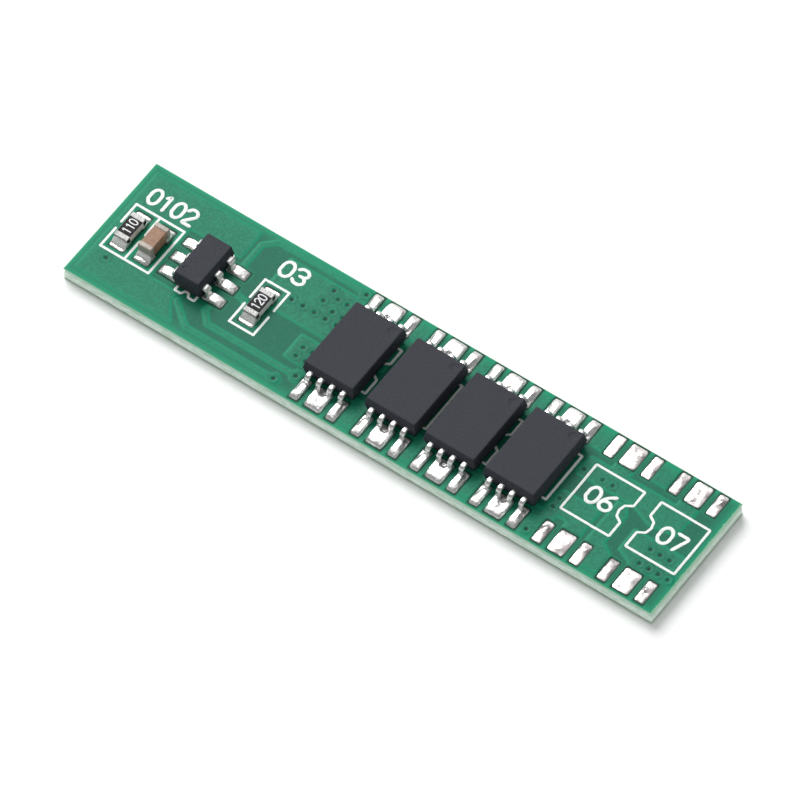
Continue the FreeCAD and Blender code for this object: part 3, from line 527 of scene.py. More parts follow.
@dataclass(frozen=True)
class PlainFinish:
    """A non-metal with soft mottling: print, ceramic or glaze."""

    colour: Colour
    second: Colour
    roughness: float = 0.5
    patch_mm: float = 0.3
    shine: float = 0.3

    def material(self, name: str) -> bpy.types.Material:
        """Args: name: of the material. Returns: the material."""
        shader = Shader(name)
        grain = shader.noise(0.05, 3)
        colour = shader.mixed(shader.patches(self.patch_mm, 4, 0.35, 0.65), self.colour, self.second)
        return shader.finish(Base_Color=colour, Roughness=shader.rough(self.roughness, grain),
                             Normal=shader.bump(grain, 0.004), Specular_IOR_Level=self.shine)


@dataclass(frozen=True)
class LaminateFinish:
    """The cut edge of glass-epoxy laminate: thin plies along the board, greener towards its top face."""

    pale: Colour = linear(240, 254, 245)
    deep: Colour = linear(194, 220, 198)
    green: Colour = linear(60, 168, 128)
    ply_mm: float = 0.1

    def material(self, name: str) -> bpy.types.Material:
        """Args: name: of the material. Returns: the material."""
        shader = Shader(name)
        plies = shader.noise(0.5, 3, (1.0, 1.0, 0.5 / self.ply_mm))
        fibres = shader.noise(0.08, 3)
        height = shader.node("ShaderNodeSeparateXYZ", Vector=shader.place()).outputs["Z"]
        board = Span.of("laminate")
        above = shader.maths("SUBTRACT", height, board.low[2] * MM)
        level = shader.maths("DIVIDE", above, board.size[2] * MM)
        faces = shader.ramp(level, (0.0, 0.0), (0.35, 0.0), (0.6, 0.14), (0.85, 0.5), (1.0, 0.95))
        colour = shader.mixed(shader.ramp(plies, (0.42, 0.0), (0.62, 0.75)), self.pale, self.deep)
        colour = shader.mixed(faces, colour, self.green)
        normal = shader.bump(fibres, 0.02, shader.bump(plies, 0.03))
        return shader.finish(Base_Color=colour, Roughness=0.6, Normal=normal)


class Finishes:
    """Every material of the board."""

    def __init__(self) -> None:
        """Make them all."""
        self.mask = MaskFinish().material("mask_green", layered=True)
        self.mask_under = MaskFinish().material("mask_green_under", layered=False)
        self.legend = PlainFinish((0.88, 0.90, 0.88), (0.82, 0.86, 0.83),
                                  patch_mm=0.12).material("legend_white")
        self.laminate = LaminateFinish().material("glass_epoxy_edge")
        self.copper = MetalFinish((0.72, 0.40, 0.25), 0.4).material("copper_foil")
        self.tin = MetalFinish((0.80, 0.80, 0.78), 0.34, 1.1, 0.05).material("levelled_tin")
        self.epoxy = EpoxyFinish().material("moulded_epoxy")
        self.lead = MetalFinish((0.86, 0.86, 0.85), 0.3, 0.2, 0.008, stain=0.2).material("tinned_lead")
        self.solder = MetalFinish((0.86, 0.85, 0.84), 0.3, 0.2, 0.042, stain=0.4,
                                  metallic=0.8).material("reflowed_solder")
        self.tinning = MetalFinish((0.60, 0.565, 0.555), 0.3, 0.24, 0.03,
                                   metallic=0.8).material("levelled_solder")
        self.coated = MetalFinish((0.80, 0.77, 0.72), 0.36, 0.4, 0.03).material("tinned_copper")
        self.cap_plate = MetalFinish((0.36, 0.33, 0.29), 0.55, 0.14, 0.03, stain=0.4,
                                     metallic=0.35).material("dipped_end_plate")
        self.alumina = PlainFinish((0.80, 0.79, 0.76), (0.70, 0.69, 0.66)).material("white_alumina")
        self.glaze = PlainFinish((0.012, 0.012, 0.014), (0.02, 0.02, 0.022),
                                 shine=0.1).material("black_glaze")
        self.digits = PlainFinish((0.84, 0.85, 0.86), (0.74, 0.75, 0.76)).material("printed_digits")
        self.chip_plate = MetalFinish((0.36, 0.36, 0.355), 0.46, 0.12, 0.04, stain=0.5,
                                      metallic=0.45).material("chip_end_plate")
        self.ceramic = PlainFinish(linear(156, 122, 98), linear(138, 104, 82),
                                   patch_mm=0.25).material("fired_ceramic")


# Board


@dataclass
class HeightMap:
    """Heights over the board on an even grid."""

    xs: np.ndarray
    ys: np.ndarray
    heights: np.ndarray

    def at(self, x: np.ndarray, y: np.ndarray) -> np.ndarray:
        """Args: x, y: places. Returns: the height at each, between the grid's points."""
        column = np.clip((np.asarray(x) - self.xs[0]) / (self.xs[1] - self.xs[0]), 0, len(self.xs) - 1.001)
        row = np.clip((np.asarray(y) - self.ys[0]) / (self.ys[1] - self.ys[0]), 0, len(self.ys) - 1.001)
        i, j = column.astype(int), row.astype(int)
        u, v = column - i, row - j
        grid = self.heights
        return ((grid[j, i] * (1 - u) + grid[j, i + 1] * u) * (1 - v)
                + (grid[j + 1, i] * (1 - u) + grid[j + 1, i + 1] * u) * v)


def blurred(grid: np.ndarray, reach: float) -> np.ndarray:
    """Args: grid: values. reach: standard deviation in cells. Returns: the smoothed grid."""
    radius = max(1, math.ceil(reach * 3))
    weights = np.exp(-0.5 * (np.arange(-radius, radius + 1) / reach) ** 2)
    weights /= weights.sum()
    for axis in (0, 1):
        margins = [(radius, radius) if axis == other else (0, 0) for other in (0, 1)]
        padded = np.pad(grid, margins, mode="edge")
        length = grid.shape[axis]
        grid = sum(weight * np.take(padded, range(index, index + length), axis=axis)
                   for index, weight in enumerate(weights))
    return grid


@dataclass
class BoardSkin:
    """The top solder mask as one soft skin, read from the CAD mask, with its tented holes."""

    step: float = 0.052
    flow: float = 0.036
    edge_fall: float = 0.02
    edge_reach: float = 0.05
    edge_floor: float = 0.01
    painted_rim_reach: float = 0.35
    painted_rim_glow: float = 0.85
    pad_lift: float = 0.003
    bare_lift: float = 0.0025
    hole_reach: float = 0.11
    hole_depth: float = 0.05
    land_reach: float = 0.26
    land_lift: float = 0.005
    land_width: float = 0.07
    halo_width: float = 0.05
    halo_shade: float = 0.25
    painted_copper_edge_glow: float = 0.8
    well_shade: float = 1.4
    ragged_cells: float = 0.8
    wall_wear: float = 0.9
    top_wear: float = 0.85
    chipping: tuple[float, float, float, float] = (0.03, 0.1, 0.045, 0.03)

    def survey(self) -> tuple[HeightMap, np.ndarray, np.ndarray]:
        """Returns: the CAD mask's height, where copper lies under it and where it is open."""
        mask = Span.of("solder_mask_top")
        columns, rows = (int(round(size / self.step)) + 1 for size in mask.size[:2])
        xs = np.linspace(mask.low[0], mask.high[0], columns)
        ys = np.linspace(mask.low[1], mask.high[1], rows)
        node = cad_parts["solder_mask_top"].data
        points = [vertex.co for vertex in node.vertices]
        tree = BVHTree.FromPolygons(points, [tuple(face.vertices) for face in node.polygons])
        inside = self.step * 0.02
        heights = np.full((rows, columns), np.nan)
        for row, y in enumerate(np.clip(ys, mask.low[1] + inside, mask.high[1] - inside)):
            for column, x in enumerate(np.clip(xs, mask.low[0] + inside, mask.high[0] - inside)):
                hit = tree.ray_cast(Vector((x * MM, y * MM, 1.0)), Vector((0, 0, -1)))[0]
                if hit is not None:
                    heights[row, column] = hit.z / MM
        opened = np.isnan(heights)
        low, high = np.nanmin(heights), np.nanmax(heights)
        raised = np.where(opened, False, heights > (low + high) / 2)
        pad_top = Span.of("copper_top").high[2] + self.pad_lift
        bare = Span.of("copper_top").high[2] + self.bare_lift
        return HeightMap(xs, ys, np.where(opened, pad_top, np.maximum(heights, bare))), raised, opened

    def build(self, finishes: Finishes) -> HeightMap:
        """Args: finishes: the board's materials. Returns: the skin's heights, for what lies on it."""
        survey, raised, opened = self.survey()
        xs, ys = survey.xs, survey.ys
        reach = self.flow / self.step
        heights = blurred(survey.heights, reach)
        copper = blurred((raised | opened).astype(float), reach)
        # Painted shade round the mask's openings, deepened by well_shade below
        well = blurred(opened.astype(float), reach)
        across, along = np.meshgrid(xs, ys)
        generator = np.random.default_rng(SEED)
        pit = self.drill(heights, across, along, generator)
        sides = [across - xs[0], xs[-1] - across, along - ys[0], ys[-1] - along]
        border = np.min(sides, axis=0)
        heights -= self.edge_fall * np.exp(-border / self.edge_reach)
        # Painted glow near the board's edges, and along the copper's edges where the skin steps
        margin = np.exp(-(border / self.painted_rim_reach) ** 1.5) * self.painted_rim_glow
        slope = np.hypot(*np.gradient(copper))
        margin = np.maximum(margin, self.painted_copper_edge_glow * slope / slope.max())
        floor = Span.of("solder_mask_top").low[2]
        lowest = Span.of("copper_top").high[2] + self.bare_lift
        lowest = np.where(border < self.edge_reach, floor + self.edge_floor, lowest)
        heights = np.maximum(heights, lowest)
        top = np.stack([across, along, heights], axis=-1).reshape(-1, 3)
        count = len(top)
        index = np.arange(count).reshape(heights.shape)
        rim = np.concatenate([index[0], index[1:, -1], index[-1, -2::-1], index[-2:0:-1, 0]]).tolist()
        under = np.column_stack([top[rim, :2], np.full(len(rim), floor)])
        draft = Draft()
        draft.add(np.concatenate([top, under]), grid_faces(*heights.shape) + skirt(rim, count))
        mesh = draft.mesh("board_skin", 60)
        # Copper, well (painted shade round the openings), pit and margin (painted glow); the wall and the
        # underside count as copper and margin
        layers = np.tile(np.array([1, 0, 0, 1], np.float32), (len(mesh.vertices), 1))
        well = np.clip(well * self.well_shade, 0, 1)
        layers[:count] = np.stack([copper, well, pit, margin], axis=-1).reshape(-1, 4)
        mesh.attributes.new("layers", "FLOAT_COLOR", "POINT").data.foreach_set("color", layers.ravel())
        worn = np.full(len(mesh.vertices), self.wall_wear, np.float32)
        worn[:count] = self.wear(sides, generator).ravel()
        mesh.attributes.new("worn", "FLOAT", "POINT").data.foreach_set("value", worn)
        fitted(shown(mesh, finishes.mask), Slot.MASK, "solder_mask_top")
        return HeightMap(xs, ys, heights)

    def drill(self, heights: np.ndarray, across: np.ndarray, along: np.ndarray,
              generator: np.random.Generator) -> np.ndarray:
        """Dent the skin over the plated holes, and raise a low land round each.

        Args:
            heights: of the skin, changed in place.
            across, along: places of its points.
            generator: for how full the holes are.

        Returns:
            How dark each place is, from 0 to 1.
        """
        pit = np.zeros_like(heights)
        for span in islands("via_barrels"):
            distance = np.hypot(across - span.centre[0], along - span.centre[1])
            fill = generator.uniform(0.35, 1.0)
            hole = np.exp(-(distance / self.hole_reach) ** 4)
            land = np.exp(-((distance - self.land_reach * 0.75) / self.land_width) ** 2)
            halo = np.exp(-((distance - self.land_reach * 1.1) / self.halo_width) ** 2)
            heights += self.land_lift * land - self.hole_depth * fill * hole
            pit = np.max([pit, hole * (0.6 + 0.4 * fill), self.halo_shade * halo], axis=0)
        return pit

    def wear(self, sides: Sequence[np.ndarray], generator: np.random.Generator) -> np.ndarray:
        """How far the mask is chipped away along the snapped edges.

        Args:
            sides: distances to the left, right, front and back edges.
            generator: for the ragged border.

        Returns:
            The share of bare laminate at each place.
        """
        ragged = blurred(generator.uniform(0, 1, sides[0].shape), self.ragged_cells)
        ragged = (ragged - ragged.min()) / (ragged.max() - ragged.min())
        share = np.zeros_like(ragged)
        for distance, reach in zip(sides, self.chipping):
            share = np.maximum(share, np.clip(1.0 - distance / (reach * (0.7 + 0.6 * ragged)), 0, 1))
        return np.sqrt(share) * self.top_wear


@dataclass
class BoardCore:
    """The laminate, with its scored and snapped edge. A level is a share of its height and of the score."""

    step: float = 0.09
    score: float = 0.07
    rough: float = 0.018
    corner: float = 0.06
    levels: tuple[tuple[float, float], ...] = (
        (0.0, 0.3), (0.07, 0.15), (0.2, 0.0), (0.36, 0.0), (0.5, 0.15), (0.66, 0.35), (0.86, 0.75),
        (1.0, 1.0))

    def build(self, finishes: Finishes) -> None:
        """Args: finishes: the board's materials."""
        board = Span.of("laminate")
        half_x, half_y = board.size[:2] / 2
        outline = self.even(rounded_outline(half_x, half_y, self.corner, 4))
        normal = self.outward(outline)
        generator = np.random.default_rng(SEED)
        ripple = generator.uniform(0, 1, (len(self.levels), len(outline)))
        ripple = (ripple + np.roll(ripple, 1, axis=1) + np.roll(ripple, 2, axis=1)) / 3
        rings = []
        for row, (level, inset) in enumerate(self.levels):
            depth = self.score * inset + self.rough * ripple[row] * (0.4 if inset == 1.0 else 1.0)
            flat = outline - normal * depth[:, None]
            rings.append(ring(flat, board.low[2] + level * board.size[2], board.centre))
        draft = Draft()
        draft.add_tube(rings)
        draft.piece("board_core", 50, finishes.laminate, Slot.LAMINATE, "laminate")

    def even(self, outline: np.ndarray) -> np.ndarray:
        """Args: outline: a closed outline. Returns: the same with no long steps."""
        points = []
        for start, stop in zip(outline, np.roll(outline, -1, axis=0)):
            count = max(1, int(np.linalg.norm(stop - start) / self.step))
            points += [start + (stop - start) * index / count for index in range(count)]
        return np.array(points)

    @staticmethod
    def outward(outline: np.ndarray) -> np.ndarray:
        """Args: outline: a closed anticlockwise outline. Returns: its outward normals."""
        along = np.roll(outline, -1, axis=0) - np.roll(outline, 1, axis=0)
        normal = np.column_stack([along[:, 1], -along[:, 0]])
        return normal / np.linalg.norm(normal, axis=1)[:, None]


# Printed legend

# Strokes of plain digits in a cell four wide and six high
DIGITS: dict[str, list[Stroke]] = {
    "0": [[(1.2, 0), (0, 1.4), (0, 4.6), (1.2, 6), (2.8, 6), (4, 4.6), (4, 1.4), (2.8, 0), (1.2, 0)]],
    "1": [[(0.8, 4.8), (2.2, 6), (2.2, 0)]],
    "2": [[(0, 4.8), (0.9, 6), (3, 6), (4, 4.9), (4, 3.9), (0, 0), (4, 0)]],
    "3": [[(0, 5.1), (1, 6), (3, 6), (4, 5), (4, 4), (3, 3.1), (1.6, 3.1)],
          [(3, 3.1), (4, 2.2), (4, 1), (3, 0), (1, 0), (0, 0.9)]],
    "6": [[(3.5, 6), (1.6, 5), (0.2, 3), (0, 1.9)],
          [(0, 2.2), (0, 1.1), (1, 0), (3, 0), (4, 1.1), (4, 2.2), (3, 3.3), (1, 3.3), (0, 2.2)]],
    "7": [[(0, 6), (4, 6), (1.4, 0)]],
}


def words(text: str, centre: Sequence[float], width: float, height: float,
          sideways: bool = False) -> list[Stroke]:
    """Strokes of a row of digits.

    Args:
        text: digits and spaces.
        centre: middle of the row.
        width: length of the row.
        height: of a digit.
        sideways: read along +Y, with the digits' tops to -X.

    Returns:
        The strokes, in the plane.
    """
    pitch = width / (len(text) - (1 - DIGIT_SHARE))
    strokes = []
    for index, letter in enumerate(text):
        for stroke in DIGITS.get(letter, []):
            placed = []
            for x, y in stroke:
                u = (index * pitch) + x / 4 * pitch * DIGIT_SHARE - width / 2
                v = (y / 6 - 0.5) * height
                placed.append((centre[0] - v, centre[1] + u) if sideways else (centre[0] + u, centre[1] + v))
            strokes.append(placed)
    return strokes


def softened(stroke: Stroke, radius: float, step: float = 0.06) -> np.ndarray:
    """Args: stroke: its corners. radius: of its rounded corners. step: between points. Returns: N by 2."""
    points = [np.array(point, float) for point in stroke]
    closed = bool(np.allclose(points[0], points[-1]))
    if closed:
        middle = (points[0] + points[1]) / 2
        points = [middle, *points[1:], middle]
    path = [points[0]]
    for before, corner, after in zip(points, points[1:], points[2:]):
        reach = min(radius, np.linalg.norm(corner - before) / 2.01, np.linalg.norm(after - corner) / 2.01)
        start = corner + (before - corner) / np.linalg.norm(before - corner) * reach
        stop = corner + (after - corner) / np.linalg.norm(after - corner) * reach
        for share in np.linspace(0, 1, 5):
            path.append((1 - share) ** 2 * start + 2 * share * (1 - share) * corner + share ** 2 * stop)
    path.append(points[-1])
    fine = [path[0]]
    for start, stop in zip(path, path[1:]):
        length = np.linalg.norm(stop - start)
        count = max(1, int(length / step))
        if length > 1e-6:
            fine += [start + (stop - start) * (index + 1) / count for index in range(count)]
    return np.array(fine)


def ink_line(draft: Draft, path: np.ndarray, width: float, ground: Ground, thickness: float,
             generator: np.random.Generator) -> None:
    """Lay one line of ink on the board.

    Args:
        draft: the mesh to add to.
        path: N by 2. One that ends where it starts is a closed loop.
        width: of the line.
        ground: gives the height under a place.
        thickness: of the ink.
        generator: for its ragged edges and its own thickness.
    """
    shoulder, sunk, ragged, rounding = 0.8, -0.01, 0.08, 0.45
    closed = bool(np.allclose(path[0], path[-1]))
    thickness *= generator.uniform(0.85, 1.15)
    if closed:
        path = path[:-1]
        along = np.roll(path, -1, axis=0) - np.roll(path, 1, axis=0)
    else:
        along = np.gradient(path, axis=0)
    along /= np.linalg.norm(along, axis=1)[:, None]
    sideways = np.column_stack([-along[:, 1], along[:, 0]])
    if not closed:
        ends = [path[0] - along[0] * width * rounding, path[-1] + along[-1] * width * rounding]
        path = np.concatenate([[ends[0]], path, [ends[1]]])
        sideways = np.concatenate([sideways[:1], sideways, sideways[-1:]])
    half = width / 2 * (1 + generator.uniform(-ragged, ragged, len(path)))
    if not closed:
        half[[0, -1]] *= rounding
    rows = []
    for offset, lift in ((-1.0, sunk), (-shoulder, thickness), (shoulder, thickness), (1.0, sunk)):
        flat = path + sideways * (half * offset)[:, None]
        rows.append(np.column_stack([flat, ground(flat[:, 0], flat[:, 1]) + lift]))
    sections = np.stack(rows, axis=1)
    if closed:
        count, size = sections.shape[:2]
        faces = grid_faces(count + 1, size, closed=True)
        faces = [tuple(index % (count * size) for index in face) for face in faces]
        draft.add(sections.reshape(-1, 3), faces)
    else:
        draft.add_tube(list(sections))


@dataclass
class Legend:
    """White outlines round the components, and plain digits beside them."""

    line: float = 0.15
    letter_line: float = 0.2
    ink: float = 0.014
    half_width: float = 1.385
    half_depth: float = 1.485
    shift: tuple[float, float] = (0.2, 0.11)
    notch_depth: float = 0.44
    chip_half: tuple[float, float] = (0.71, 1.46)
    chip_gap: float = 0.23
    second_left: float = 0.07

    def package(self, centre: np.ndarray, notch: int) -> Stroke:
        """Args: centre: of the package. notch: +1 on the right, -1 on the left. Returns: its outline."""
        x, y = centre[0] + self.shift[0], centre[1] + self.shift[1]
        half_x, half_y, depth = self.half_width, self.half_depth, self.notch_depth
        points = [(-1, half_y, 0), (-1, -half_y, 0), (1, -half_y, 0), (1, -0.56, 0), (1, -0.34, depth * 0.8),
                  (1, 0.0, depth), (1, 0.34, depth * 0.8), (1, 0.56, 0), (1, half_y, 0), (-1, half_y, 0)]
        return [(x + notch * side * (half_x - inward), y + up) for side, up, inward in points]

    def chip(self, centre: np.ndarray, sides: dict[int, bool]) -> list[Stroke]:
        """Args: centre: of the chip. sides: side to whether it has a gap. Returns: its box."""
        half_x, half_y = self.chip_half
        x, y = centre[:2]
        strokes = [[(x - half_x, y + end * half_y), (x + half_x, y + end * half_y)] for end in (-1, 1)]
        for side, gap in sides.items():
            edge = x + side * half_x
            runs = [(-half_y, -self.chip_gap), (self.chip_gap, half_y)] if gap else [(-half_y, half_y)]
            strokes += [[(edge, y + low), (edge, y + high)] for low, high in runs]
        return strokes

    def controller(self, centre: np.ndarray) -> Stroke:
        """Args: centre: of the controller. Returns: its outline, nicked at the pin-one end."""
        x, y = centre[:2]
        half_x, half_y, nick = 0.575, 1.6, 0.22
        return [(x - half_x, y - half_y), (x - nick, y - half_y), (x - nick / 2, y - half_y + nick),
                (x + nick / 2, y - half_y + nick), (x + nick, y - half_y), (x + half_x, y - half_y),
                (x + half_x, y + half_y), (x - half_x, y + half_y), (x - half_x, y - half_y)]

    def build(self, finishes: Finishes, skin: HeightMap) -> None:
        """Args: finishes: the board's materials. skin: what the ink lies on."""
        generator = np.random.default_rng(SEED)
        draft = Draft()
        centres = [Span.of(f"mosfet_{number}_body").centre for number in range(1, 5)]
        centres[1] = centres[1] - np.array([self.second_left, 0.0, 0.0])
        spares = [Span.of(f"spare_{number}_tinned_pads").centre for number in (1, 2)]
        places = enumerate(centres + spares)
        outlines = [self.package(centre, 1 - 2 * (index % 2)) for index, centre in places]
        for part, sides in (("resistor_1", {-1: True, 1: True}), ("capacitor", {1: False}),
                            ("resistor_2", {-1: True, 1: True})):
            outlines += self.chip(Span.of(f"{part}_solder").centre, sides)
        outlines.append(self.controller(Span.of("controller_body").centre))
        for stroke in outlines:
            ink_line(draft, softened(stroke, 0.05), self.line, skin.at, self.ink, generator)
        front = Span.of("laminate").low
        labels = (("0102", front, (2.2, 5.86), 2.6, 0.9), ("03", front, (9.25, 6.08), 1.4, 0.9),
                  ("06", spares[0], (0.06, 0.11), 1.38, 0.92), ("07", spares[1], (0.42, 0.16), 1.38, 0.92))
        for text, origin, shift, width, height in labels:
            for stroke in words(text, origin[:2] + shift, width, height):
                ink_line(draft, softened(stroke, 0.16), self.letter_line, skin.at, self.ink, generator)
        draft.piece("legend_print", 50, finishes.legend, Slot.LEGEND, "printed_outlines")


# Solder


@dataclass(frozen=True)
class Foot:
    """A flat thing that solder climbs: a lead's foot or a chip's end."""

    centre: np.ndarray
    half: np.ndarray
    outward: np.ndarray

    def fall(self, flat: np.ndarray, slope: float) -> np.ndarray:
        """How far the solder has fallen from its height on the foot.

        Args:
            flat: places on the board, N by 2.
            slope: fall beyond the toe; it is steeper behind the heel and at the sides.

        Returns:
            The fall at each place, rounded at the foot's own edges.
        """
        blend = 0.02
        off = flat - self.centre
        along = off @ self.outward
        across = np.abs(off @ np.array([-self.outward[1], self.outward[0]]))
        length, width = float(abs(self.half @ self.outward)), float(abs(self.half @ self.outward[::-1]))
        toe, heel = np.maximum(along - length, 0), np.maximum(-along - length, 0)
        side = np.maximum(across - width, 0) * (1.5 + 2.5 * np.clip(0.5 - along / (2 * length), 0, 1))
        drop = slope * np.sqrt(toe ** 2 + (3 * heel) ** 2 + side ** 2)
        return np.sqrt(drop ** 2 + blend ** 2) - blend


def add_joint(draft: Draft, pad: Span, feet: Sequence[Foot], rise: float, generator: np.random.Generator,
              dome: float, slope: float = 0.3, crown: float = 9.0) -> None:
    """Add one solder joint: a thin pool on its pad that climbs the feet it holds.

    Args:
        draft: the mesh to add to.
        pad: the box of the joint in the CAD part.
        feet: what the solder climbs.
        rise: height of the solder against the feet.
        generator: for its uneven shape.
        dome: height of the pool in its middle.
        slope: fall of the climb beyond the toes of the feet.
        crown: how flat its top is before it falls to the rim.
    """
    rings, turns, power, waver_share, blend = 16, 72, 8.0, 0.035, 0.03
    centre, half, base = pad.centre[:2], pad.size[:2] / 2, pad.low[2]
    angle = np.linspace(0, 2 * math.pi, turns, endpoint=False)
    radius = (np.abs(np.cos(angle)) ** power + np.abs(np.sin(angle)) ** power) ** (-1 / power)
    waver = np.zeros(turns)
    for order in (2, 3, 5, 8):
        waver += generator.uniform(-1, 1) * np.cos(order * angle + generator.uniform(0, 7)) / order
    radius = radius * (1 - waver_share * (1 + waver / 1.5))
    edge = np.column_stack([np.cos(angle), np.sin(angle)]) * (radius[:, None] * half)
    shares = np.linspace(0, 1, rings + 1)[1:] ** 0.85
    flat = np.concatenate([np.zeros((1, 2)), (shares[:, None, None] * edge).reshape(-1, 2)]) + centre
    level = np.full(len(flat), dome)
    bumps = [(centre + half * generator.uniform(-0.7, 0.7, 2), generator.uniform(0.12, 0.3),
              generator.uniform(-0.9, 1.1)) for _ in range(5)]
    for middle, size, strength in bumps:
        level += dome * strength * np.exp(-np.sum((flat - middle) ** 2, axis=1) / size ** 2)
    for foot in feet:
        climb = rise - foot.fall(flat, slope)
        level = (level + climb + np.sqrt((level - climb) ** 2 + blend ** 2)) / 2
    level *= (1 - np.concatenate([[0.0], np.repeat(shares, turns)]) ** crown) ** 0.75
    top = np.column_stack([flat, base + np.maximum(level, 0.001)])
    low = np.column_stack([flat[-turns:], np.full(turns, base - 0.002)])
    count = len(top)
    faces = [(0, 1 + index, 1 + (index + 1) % turns) for index in range(turns)]
    faces += grid_faces(rings, turns, closed=True, start=1) + skirt(range(count - turns, count), count)
    draft.add(np.concatenate([top, low]), faces)


@dataclass
class SparePlace:
    """The tinned pads of a package place that has no package."""

    name: str
    seed: int

    def build(self, finishes: Finishes) -> None:
        """Args: finishes: the board's materials."""
        generator = np.random.default_rng(self.seed)
        pads = f"{self.name}_tinned_pads"
        draft = Draft()
        for pad in islands(pads):
            add_joint(draft, pad, [], 0.0, generator, dome=generator.uniform(0.045, 0.07), crown=2.6)
        draft.piece(f"{self.name}_tinning", 70, finishes.tinning, Slot.SOLDER, pads)


# Packages


@dataclass(frozen=True)
class PackageShape:
    """Sizes of a moulded package with gull-wing leads, in its own frame, leads out to +Y and -Y."""

    leads: int
    pitch: float
    half_row: float
    half_span: float
    standoff: float
    parting: float
    top: float
    draft: float
    lead_width: float
    lead_thickness: float
    lead_reach: float
    foot: float
    bend: float
    dimple: tuple[float, float, float]
    buried: float = 0.12
    bend_steps: int = 8

    def lead_path(self) -> np.ndarray:
        """Returns: the middle line of a lead on the +Y side, as (y, z, direction), N by 3."""
        thick, bend = self.lead_thickness, self.bend
        middle = bend + thick / 2
        heel = self.lead_reach - self.foot
        knee = heel - 2 * bend - thick
        path = [(self.half_span - self.buried, self.parting, 0.0)]
        for share in np.linspace(0, 1, self.bend_steps):
            turn = share * math.pi / 2
            path.append((knee + middle * math.sin(turn), self.parting - middle * (1 - math.cos(turn)), -turn))
        for share in np.linspace(0, 1, self.bend_steps):
            turn = (1 - share) * math.pi / 2
            path.append((heel - middle * math.sin(turn), thick / 2 + middle * (1 - math.cos(turn)), -turn))
        path.append((self.lead_reach - 0.02, thick / 2, 0.0))
        path.append((self.lead_reach, thick / 2 - 0.012, -0.3))
        return np.array(path)


MOSFET = PackageShape(
    leads=4, pitch=0.65, half_row=1.5, half_span=2.2, standoff=0.1, parting=0.55, top=1.05,
    draft=math.radians(10), lead_width=0.28, lead_thickness=0.16, lead_reach=3.2, foot=0.5, bend=0.1,
    dimple=(1.0, 1.65, 0.25))
CONTROLLER = PackageShape(
    leads=3, pitch=0.97, half_row=1.45, half_span=0.8, standoff=0.05, parting=0.6, top=1.15,
    draft=math.radians(8), lead_width=0.42, lead_thickness=0.14, lead_reach=1.4, foot=0.27, bend=0.07,
    dimple=(-0.9, 0.4, 0.13))


def lead_row_tree() -> bpy.types.NodeTree:
    """Returns: a node group that sets two rows of leads along a package."""
    tree = bpy.data.node_groups.new("lead_rows", "GeometryNodeTree")
    kinds = {"Lead": "Object", "Count": "Int", "Pitch": "Float", "Centre": "Vector", "Turn": "Float",
             "Finish": "Material"}
    for name, kind in kinds.items():
        tree.interface.new_socket(name, in_out="INPUT", socket_type=f"NodeSocket{kind}")
    tree.interface.new_socket("Geometry", in_out="OUTPUT", socket_type="NodeSocketGeometry")
    graph = Graph(tree)
    given = graph.node("NodeGroupInput").outputs
    row = graph.maths("MULTIPLY", graph.maths("SUBTRACT", given["Count"], 1.0), given["Pitch"])
    start = graph.node("ShaderNodeCombineXYZ", X=graph.maths("MULTIPLY", row, -0.5)).outputs[0]
    offset = graph.node("ShaderNodeCombineXYZ", X=given["Pitch"]).outputs[0]
    line = graph.node("GeometryNodeMeshLine", Count=given["Count"], Start_Location=start, Offset=offset)
    lead = graph.node("GeometryNodeObjectInfo", Object=given["Lead"]).outputs["Geometry"]
    back = graph.node("GeometryNodeInstanceOnPoints", Points=line.outputs[0], Instance=lead).outputs[0]
    front = graph.node("GeometryNodeTransform", Geometry=back, Rotation=(0.0, 0.0, math.pi)).outputs[0]
    both = graph.node("GeometryNodeJoinGeometry", Geometry=back)
    graph.set(both, "Geometry", front)
    turned = graph.node("ShaderNodeCombineXYZ", Z=given["Turn"]).outputs[0]
    placed = graph.node("GeometryNodeTransform", Geometry=both.outputs[0], Translation=given["Centre"],
                        Rotation=turned)
    real = graph.node("GeometryNodeRealizeInstances", Geometry=placed.outputs[0])
    dressed = graph.node("GeometryNodeSetMaterial", Geometry=real.outputs[0], Material=given["Finish"])
    graph.node("NodeGroupOutput", Geometry=dressed.outputs[0])
    return tree


